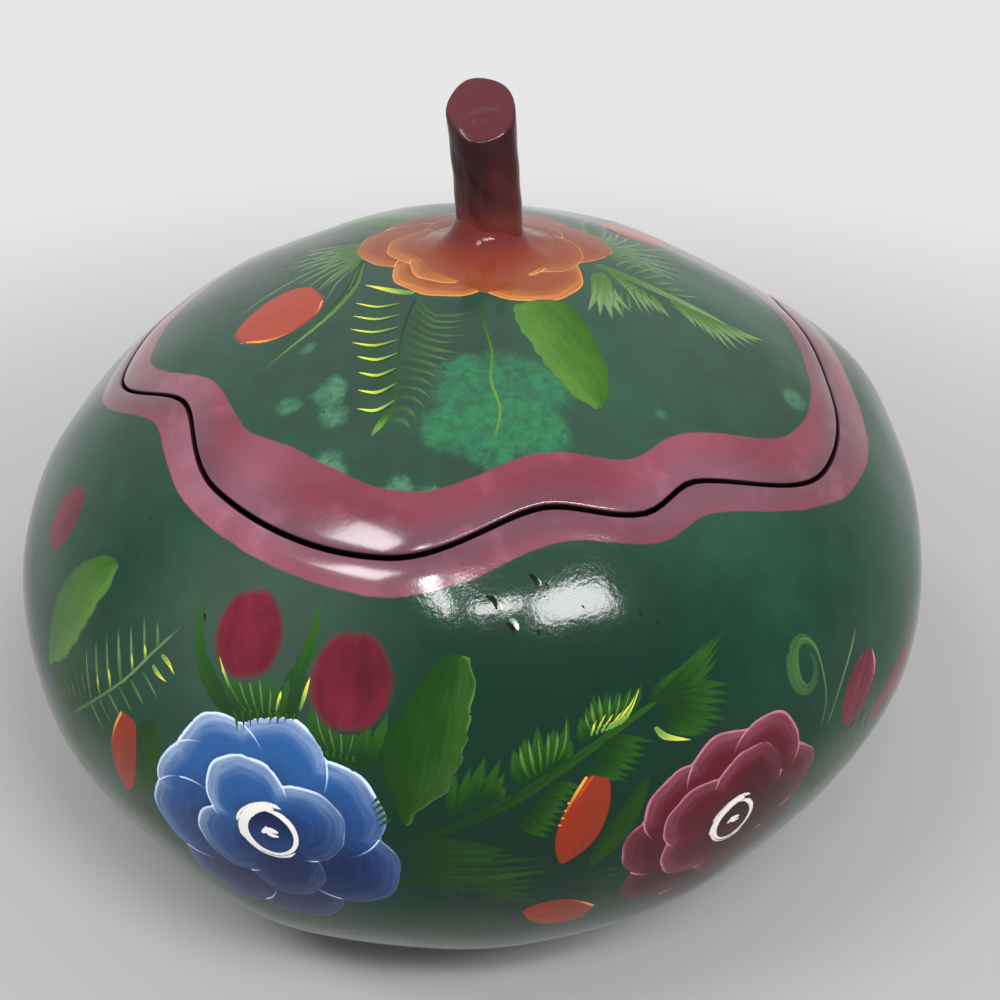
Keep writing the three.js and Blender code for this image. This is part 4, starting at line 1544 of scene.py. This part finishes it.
    # Brush ends over the blue petals: roots, tips and number.
    FRINGES = (
        (((-39.0, 19.2), (-34.6, 20.4)), ((-37.7, 16.4), (-34.2, 18.4)), 4),
        (((-32.4, 20.8), (-28.2, 21.4)), ((-32.2, 18.8), (-28.4, 20.2)), 4),
        (((-22.2, 16.8), (-17.6, 16.6)), ((-21.6, 15.3), (-17.5, 15.1)), 5),
        (((-13.2, 10.6), (-11.2, 6.8)), ((-14.2, 9.4), (-12.9, 5.4)), 5),
    )

    def execute(self, context):
        colours = context.scene.gourd_colours
        film = context.scene.gourd_sizes.film / MM
        deep, body, light = colours.leaf_deep, colours.leaf, colours.leaf_light
        shadow, shade = between(colours.ground_deep, deep, 0.6), between(deep, body, 0.4)
        middle, pale = between(body, light, 0.4), between(light, colours.white, 0.08)
        # Each paint, its lift and bed in layers, and the share of its height that thin strokes keep.
        paints = {
            "faint": (stroke_paint(colours, "stroke_faint", body, light, 0.34), 0.9, 0, 0.2),
            "dark": (stroke_paint(colours, "stroke_dark", shadow, shade, 0.85), 1.0, 0, 0.3),
            "green": (stroke_paint(colours, "stroke_green", deep, body, 0.85), 1.25, 0, 0.3),
            "pale": (stroke_paint(colours, "stroke_pale", middle, pale, 0.8), 1.55, 0, 0.85),
            "lit": (stroke_paint(colours, "stroke_lit", body, light, 0.95), 1.9, 0, 1),
            "yellow": (stroke_paint(colours, "stroke_yellow", light, colours.yellow, 1.2), 2.3, 0, 1),
            "fringe": (stroke_paint(colours, "stroke_fringe", body, deep, 1.3, deep), 3.4, 1.2, 1),
        }
        for where, side, crown in (("front", FRONT, LID_FRONT), ("back", BACK, LID_BACK)):
            lid_plants = self.lid_front if crown is LID_FRONT else self.lid_back
            for part, chart, draw, layer in (
                ("lid", crown, lid_plants, film * self.LID_LAYER), ("bowl", side, self.bowl_plants, film),
            ):
                strokes = {}
                for key, (paint, lift, bed, low) in paints.items():
                    name = f"{part}_{key}_strokes_{where}"
                    strokes[key] = Film(name, paint, chart, lift * layer, self.SEED, bed * layer, low)
                draw(strokes)
                for made in strokes.values():
                    if made.strokes:
                        made.finish()
        return {"FINISHED"}

    def lid_front(self, strokes):
        """Whole yellow fern, wavy vine, blades behind the bud and feathery ferns."""
        strokes["green"].stroke(self.LID_RACHIS, line_width(0.34), rows=25)
        strokes["yellow"].blade(((-12.2, -16.8), (-15.4, -15.6), (-21.4, -11.6)), 0.9, rows=13)
        strokes["lit"].stroke(self.LID_VINE, line_width(0.32), rows=31)
        self.lid_plants(strokes, *self.FRONT_BARBS, yellow=True)
        self.lid_feathers(strokes)

    def lid_back(self, strokes):
        """Tip of a plain fern and blades behind the bud."""
        strokes["lit"].stroke(self.LID_RACHIS, line_width(0.34), rows=25)
        self.lid_plants(strokes, *self.BACK_BARBS, yellow=False)

    def lid_plants(self, strokes, first, barbs, soft_barbs, yellow):
        """Barbs of the lid's fern and the blades behind its bud."""
        green, pale = strokes["green"], strokes["pale"]
        shares = np.linspace(first, 1, barbs)
        for start, end in zip(*(along_line(line, shares) for line in self.YELLOW_BARBS)):
            middle = (start + end) / 2 + (0, -1.3)
            if yellow:
                strokes["yellow"].stroke([start, middle, end], bud_width(0.38, 0.8, 0.8), rows=13)
            green.stroke([start - (0, 0.3), middle - (0, 0.5), end - (0, 0.3)], bud_width(0.5), rows=13)
        strokes["lit"].stroke([(-14.3, -45.0), (-17.8, -50.0)], bud_width(0.8))
        shares = np.linspace(first, 1, soft_barbs)
        for kind, half in (("faint", 0.9), ("pale", 0.2)):
            strokes[kind].fan(*(along_line(line, shares) for line in self.SOFT_BARBS), soft_barbs, half, -0.3)
        tips = ((-36.0, 13.0), (-39.0, 6.0), (-37.0, -2.0), (-31.0, -12.0))
        pale.fan(((-23.4, 7.0), (-22.8, 0.0)), tips, 9, 0.7)
        green.blade(((-22.5, -1.4), (-23.8, -11.4), (-28.5, -20.6), (-38.8, -31.0)), 1.7, 0.4, 21)
        pale.blade(((-22.3, -2.4), (-23.3, -11.9), (-28.1, -21.0), (-38.6, -31.2)), 0.8, 0.4, 21)
        pale.blade(((-25.0, 3.0), (-37.2, -4.4), (-44.3, -9.8), (-48.0, -13.6)), 0.5, rows=21)
        tips = ((-35.8, 13.0), (-37.0, 2.7), (-30.4, -6.0), (-28.4, -15.4))
        pale.fan(((-23.6, 2.0), (-23.0, -2.0)), tips, 7, 0.5)
        pale.blade(((-23.0, -4.0), (-25.0, -15.0), (-30.1, -22.9), (-34.4, -26.8)), 0.4, rows=15)

    @staticmethod
    def lid_feathers(strokes):
        """Feathery ferns to the right of the stalk."""
        faint, pale, lit = strokes["faint"], strokes["pale"], strokes["lit"]
        pale.blade(((20.2, -4.3), (32.9, -9.8), (48.3, -16.1)), 1.5, 0.6, 21)
        pale.fan(((20.0, -8.0), (21.0, -7.0)), ((18.0, -21.6), (22.0, -21.6), (26.4, -20.2)), 5, 1.6)
        pale.fan(((22.5, -6.0), (30.4, -11.6)), ((28.2, -18.6), (31.0, -17.4), (33.4, -17.4)), 5, 0.9)
        tips = ((38.3, -18.6), (44.6, -22.0), (50.8, -17.4), (53.6, -14.2))
        pale.fan(((34.0, -11.5), (44.0, -15.0)), tips, 9, 1.0)
        faint.fan(((22.0, 0.0), (33.0, -9.0)), ((26.0, 2.0), (33.2, 2.0), (36.0, -4.0), (40.6, -7.0)), 8, 1.3)
        tips = ((18.4, -20.8), (24.0, -20.8), (28.4, -18.0), (33.4, -17.2))
        lit.fan(((20.4, -9.0), (30.8, -11.8)), tips, 9, 0.3)
        tips = ((27.4, 0.6), (33.2, 1.6), (36.2, -4.6), (40.8, -6.8))
        pale.fan(((24.0, -3.6), (33.8, -9.2)), tips, 7, 0.42)
        tips = ((38.2, -18.4), (44.6, -21.8), (48.6, -19.4), (53.4, -14.0))
        lit.fan(((33.0, -12.2), (45.0, -15.2)), tips, 9, 0.28)
        pale.blade(((24.0, 10.0), (33.0, 10.6), (42.0, 5.0)), 0.4, rows=13)
        faint.blade(((23.9, 8.9), (33.0, 14.8), (38.4, 14.4)), 0.8, rows=13)

    def bowl_plants(self, strokes):
        """Ferns, the long frond, sepals of the tulips, grass and a curled tendril on the bowl."""
        dark, green, pale = strokes["dark"], strokes["green"], strokes["pale"]
        self.side_fern(strokes)
        self.sepals(strokes)
        green.blade(self.FROND, 1.1, 0.3, 31)
        for paint, roots, tips, count, half in self.FROND_CLUSTERS:
            strokes[paint].fan(roots, tips, count, half, root=0.3)
        strokes["yellow"].blade(((30.3, 18.8), (31.8, 17.0), (36.2, 15.3)), 0.6, 0.4, 11)
        green.blade([(-8.9, -6.1), (13.6, -3.9)], 1.6, 0.4, 13)
        dark.fan(((19.0, -7.0), (20.0, -10.5)), ((26.4, -6.6), (26.0, -11.4)), 4, 0.9)
        dark.fan(((61.0, -8.0), (66.0, -10.0)), ((66.0, 7.0), (70.0, 4.0), (77.4, 2.0), (77.0, -4.0)), 9, 1.2)
        green.fan(((63.0, -6.7), (65.0, -9.5)), ((66.8, 4.0), (70.0, 3.0), (77.4, 1.6), (76.0, -3.0)), 7, 0.6)
        dark.fan(((-57.0, -6.0), (-60.0, -8.0)), ((-52.0, -14.0), (-58.0, -18.0), (-68.0, -14.0)), 6, 1.2)
        curl = []
        for turn in range(0, 421, 30):
            curl.append(polar((0.0, 18.6), turn, 4.8 - 2.4 * (turn / 420) ** 2) * (0.7, 1) + (61.2, 0))
        shares, halves = self.TENDRIL_OUTLINE
        tendril = [(62.9, 6.0), (64.6, 11.0)] + curl
        strokes["faint"].stroke(tendril, outline_width(shares, halves, halves), rows=61)
        pale.stroke([(62.9, 6.0), (64.7, 11.0)] + curl[:5], line_width(0.26), rows=31)
        pale.stroke(((64.6, 5.6), (68.8, 11.7), (76.0, 19.0)), line_width(0.3), rows=13)

    def side_fern(self, strokes):
        """Fern and dark leaves at the left of the blue flower."""
        dark, pale, yellow = strokes["dark"], strokes["pale"], strokes["yellow"]
        pale.stroke(self.SIDE_RACHIS, line_width(0.32), rows=21)
        pale.fan(*self.SIDE_BARBS, 7, 0.5, 0.02, 0.8)
        for start, end in zip(*(along_line(line, self.YELLOW_FEET) for line in self.SIDE_BARBS)):
            yellow.stroke([start, start + (end - start) * 0.36], bud_width(0.36))
        roots = ((-58.5, 18.7), (-63.7, 13.6), (-70.4, 7.4))
        pale.fan(roots, ((-54.0, 15.9), (-58.0, 11.6), (-65.1, 3.8)), 6, 0.36, 0.02, 0.8)
        yellow.fan(((-55.8, 22.8), (-57.0, 20.6)), ((-52.2, 21.0), (-53.2, 19.2)), 2, 0.5)
        dark.fan(((-66.6, 11.5), (-76.7, 1.2)), ((-78.7, 14.4), (-82.0, 10.0), (-83.0, 4.0)), 9, 1.5)
        dark.fan(((-67.0, 9.6), (-79.0, -2.0)), ((-62.0, 1.0), (-68.3, -4.0), (-79.0, -15.0)), 9, 1.6)
        pale.fan(((-70.4, 10.0), (-80.0, 0.6)), ((-72.4, 13.4), (-82.0, 4.2)), 7, 0.3)

    def sepals(self, strokes):
        """Blades and sepals under the tulips, whose brush ends run over the blue petals."""
        green, pale = strokes["green"], strokes["pale"]
        green.blade(((-35.5, 18.0), (-44.6, 22.2), (-49.2, 27.6), (-52.6, 35.4)), 2.0, 0.6, 21)
        green.blade(((-29.4, 18.5), (-29.4, 25.0), (-28.2, 32.0), (-28.5, 39.4)), 2.2, 0.5, 21)
        tips = ((-43.6, 26.0), (-40.4, 25.8), (-36.4, 25.6), (-32.6, 26.6), (-30.6, 27.0))
        green.fan(((-37.0, 18.0), (-31.0, 18.6)), tips, 7, 2.0)
        tips = ((-25.8, 24.4), (-21.6, 22.4), (-18.8, 21.8), (-13.2, 23.4))
        green.fan(((-22.4, 15.4), (-16.6, 15.0)), tips, 6, 2.0)
        tips = ((-42.8, 25.2), (-38.4, 25.4), (-34.0, 25.0), (-31.4, 24.2))
        pale.fan(((-36.6, 19.6), (-31.6, 20.4)), tips, 6, 0.36)
        pale.fan(((-21.6, 16.6), (-18.6, 16.6)), ((-25.2, 23.8), (-21.6, 22.0), (-18.4, 21.4)), 4, 0.32)
        for line in self.SEPAL_LIGHTS:
            strokes["yellow"].stroke(line, bud_width(0.36), rows=11)
        for roots, tips, count in self.FRINGES:
            strokes["fringe"].fan(roots, tips, count, 0.3)


class GOURD_OT_wear(bpy.types.Operator):
    """Chips where the lacquer has come off the skin, with a lifted pale flake and painted glints beside them
    """

    bl_idname = "gourd.wear"
    bl_label = "Chips"

    # Heights of the chips and of the flake and glints, in layers of paint.
    CHIP_LIFT = 1.5
    FLAKE_AND_GLINT_LIFT = 1.2
    # Root, tip and half width of each chip on the bowl.
    CHIPS = (
        ((2.2, 41.6), (4.4, 39.4), 0.5), ((10.6, 44.6), (12.0, 42.4), 0.5), ((6.0, 37.4), (7.4, 35.6), 0.4),
        ((11.2, 36.0), (12.0, 35.2), 0.3), ((13.6, 43.0), (14.0, 42.4), 0.22),
        ((20.0, 39.0), (20.5, 38.4), 0.2), ((-50.5, 31.6), (-49.6, 30.4), 0.25),
        ((150.0, 20.0), (152.0, 18.6), 0.6),
        ((-170.0, 8.0), (-168.6, 7.4), 0.5), ((190.0, -10.0), (191.4, -11.4), 0.5),
        ((30.4, 36.4), (31.0, 35.6), 0.25), ((33.4, 34.4), (33.8, 33.8), 0.22),
    )
    # Pale marks beside some chips: the first and last are painted glints along the edges of two chips, and
    # the middle one is a lifted pale flake.
    FLAKES_AND_GLINTS = (
        ((4.4, 40.8), (5.4, 39.2), 0.22), ((6.6, 38.0), (8.2, 36.2), 0.5), ((12.2, 44.0), (12.8, 42.6), 0.2),
    )

    def execute(self, context):
        colours = context.scene.gourd_colours
        film = context.scene.gourd_sizes.film / MM
        bare = chip_paint(colours, "chip_bare")
        chips = Film("lacquer_chips", bare, FRONT, self.CHIP_LIFT * film, seed=3)
        for root, tip, half in self.CHIPS:
            chips.stroke(bowed(root, tip, 0.2), bud_width(half, 0.8, 0.5))
        chips.finish()
        # These pale strokes are partly a real flake and partly painted glints on the chips' edges.
        flake_and_glint = stroke_paint(colours, "chip_flake_and_glint", colours.worn, colours.white, 0.9, colours.worn)
        flakes_and_glints = Film("lacquer_flakes_and_glints", flake_and_glint, FRONT, self.FLAKE_AND_GLINT_LIFT * film, seed=5)
        for root, tip, half in self.FLAKES_AND_GLINTS:
            flakes_and_glints.stroke(bowed(root, tip, 0.15), bud_width(half, 0.6, 0.5))
        flakes_and_glints.finish()
        return {"FINISHED"}


CAMERA_PLACE = (9.03 * MM, -225.24 * MM, 220.15 * MM)
CAMERA_ELEVATION = 33.34
CAMERA_LENS = 46.8
CAMERA_NEAR = 0.01
SENSOR = 36.0
# Strength of the pale background, where 1 is white.
PALE_AIR = 0.8
# Light of the air from below, and how much more there is from above.
AIR_LIGHT = 0.19
AIR_LIGHT_RISE = 0.4
FLOOR_REACH = 9
# Lamps: name, place, width, height and watts, all aimed at the middle of the gourd.
LAMPS = (
    ("key_window", (0.39, -0.637, 0.953), 0.26, 0.19, 7.6),
    ("key_sill", (0.08, -0.637, 0.953), 0.24, 0.07, 3.0),
    ("key_pane", (-0.15, -0.64, 0.95), 0.06, 0.1, 1.2),
    ("side_pane", (-0.475, -0.435, 1.065), 0.3, 0.19, 3.9),
)
LAMP_AIM = (0.005, 0.0, 0.07)


class GOURD_OT_stage(bpy.types.Operator):
    """Pale floor and air, soft lamps and the camera"""

    bl_idname = "gourd.stage"
    bl_label = "Stage"

    def execute(self, context):
        self.floor(context)
        for lamp in LAMPS:
            self.lamp(context, *lamp)
        self.world(context)
        camera = bpy.data.objects.new("camera", bpy.data.cameras.new("camera"))
        camera.data.sensor_width = SENSOR
        camera.data.lens = CAMERA_LENS
        camera.data.clip_start = CAMERA_NEAR
        camera.location = CAMERA_PLACE
        camera.rotation_euler = (math.radians(90 - CAMERA_ELEVATION), 0, 0)
        context.scene.collection.objects.link(camera)
        context.scene.camera = camera
        context.scene.view_settings.view_transform = "Standard"
        return {"FINISHED"}

    @staticmethod
    def pale_rays(finish):
        """1 for rays that show the background: those of the camera, of reflections and through glass."""
        camera, glossy, through = (
            finish.node("ShaderNodeLightPath", output=f"Is {ray} Ray")
            for ray in ("Camera", "Glossy", "Transmission")
        )
        return camera.most(glossy).most(through)

    def floor(self, context):
        """Wide plain floor that pales into the air far from the box."""
        finish = Finish("studio_paper")
        paper = context.scene.gourd_colours.floor
        colour = finish.mix(paper, between((0.0, 0.0, 0.0), paper, 0.95), finish.noise(3.0, 2.0))
        surface = finish.node("ShaderNodeBsdfPrincipled", None, {"Base Color": colour, "Roughness": 0.9})
        away = finish.node("ShaderNodeVectorMath", {"operation": "LENGTH"}, {0: finish.place}, output="Value")
        far = self.pale_rays(finish) * away.smooth(0.12, 0.44)
        glow = finish.node("ShaderNodeEmission", None, {"Color": (1.0, 1.0, 1.0), "Strength": PALE_AIR})
        surface = finish.node("ShaderNodeMixShader", None, {0: far, 1: surface, 2: glow})
        finish.node("ShaderNodeOutputMaterial", None, {"Surface": surface})
        mesh = bpy.data.meshes.new("studio_floor")
        corners = [(x * FLOOR_REACH, y * FLOOR_REACH, 0) for x, y in ((-1, -1), (1, -1), (1, 1), (-1, 1))]
        mesh.from_pydata(corners, [], [(0, 1, 2, 3)])
        mesh.materials.append(finish.material)
        floor = bpy.data.objects.new("studio_floor", mesh)
        context.scene.collection.objects.link(floor)

    @staticmethod
    def lamp(context, name, where, wide, tall, watts):
        """Soft rectangular lamp aimed at the middle of the gourd."""
        light = bpy.data.lights.new(name, "AREA")
        light.shape = "RECTANGLE"
        light.size = wide
        light.size_y = tall
        light.energy = watts
        lamp = bpy.data.objects.new(name, light)
        lamp.location = where
        aim = np.array(LAMP_AIM) - np.array(where)
        flat = math.hypot(aim[0], aim[1])
        lamp.rotation_euler = (math.atan2(flat, -aim[2]), 0, math.atan2(-aim[0], aim[1]))
        context.scene.collection.objects.link(lamp)

    def world(self, context):
        """Soft light from all round, stronger from above, behind a pale background."""
        world = bpy.data.worlds.new("studio_air")
        finish = Finish("studio_air", world)
        way = finish.node("ShaderNodeTexCoord", output="Generated")
        height = finish.node("ShaderNodeSeparateXYZ", None, {"Vector": way}, output="Z")
        soft = AIR_LIGHT + AIR_LIGHT_RISE * height.smooth(-0.2, 1.0)
        strength = soft + self.pale_rays(finish) * (PALE_AIR - soft)
        air = finish.node("ShaderNodeBackground", None, {"Color": (1.0, 1.0, 1.0), "Strength": strength})
        finish.node("ShaderNodeOutputWorld", None, {"Surface": air})
        context.scene.world = world


OPERATORS = (
    GOURD_OT_bowl, GOURD_OT_lid, GOURD_OT_stalk, GOURD_OT_collar, GOURD_OT_flowers, GOURD_OT_leaves,
    GOURD_OT_buds, GOURD_OT_ferns, GOURD_OT_wear, GOURD_OT_stage,
)


class GOURD_PT_panel(bpy.types.Panel):
    """Lists the pieces of the box in the order of their making"""

    bl_idname = "GOURD_PT_panel"
    bl_label = "Gourd Box"
    bl_space_type = "VIEW_3D"
    bl_region_type = "UI"
    bl_category = "Gourd Box"

    def draw(self, context):
        for group in (context.scene.gourd_sizes, context.scene.gourd_colours):
            box = self.layout.box()
            for key in group.__annotations__:
                box.prop(group, key)
        for operator in OPERATORS:
            self.layout.operator(operator.bl_idname)


CLASSES = (GourdSizes, PaintColours) + OPERATORS + (GOURD_PT_panel,)


def register():
    """Adds the classes and the scene's settings."""
    for made in CLASSES:
        bpy.utils.register_class(made)
    bpy.types.Scene.gourd_sizes = bpy.props.PointerProperty(type=GourdSizes)
    bpy.types.Scene.gourd_colours = bpy.props.PointerProperty(type=PaintColours)


def unregister():
    """Takes them away again."""
    del bpy.types.Scene.gourd_colours
    del bpy.types.Scene.gourd_sizes
    for made in reversed(CLASSES):
        bpy.utils.unregister_class(made)


def main():
    """Builds every piece."""
    register()
    for operator in OPERATORS:
        group, action = operator.bl_idname.split(".")
        getattr(getattr(bpy.ops, group), action)()


if __name__ == "__main__":
    main()
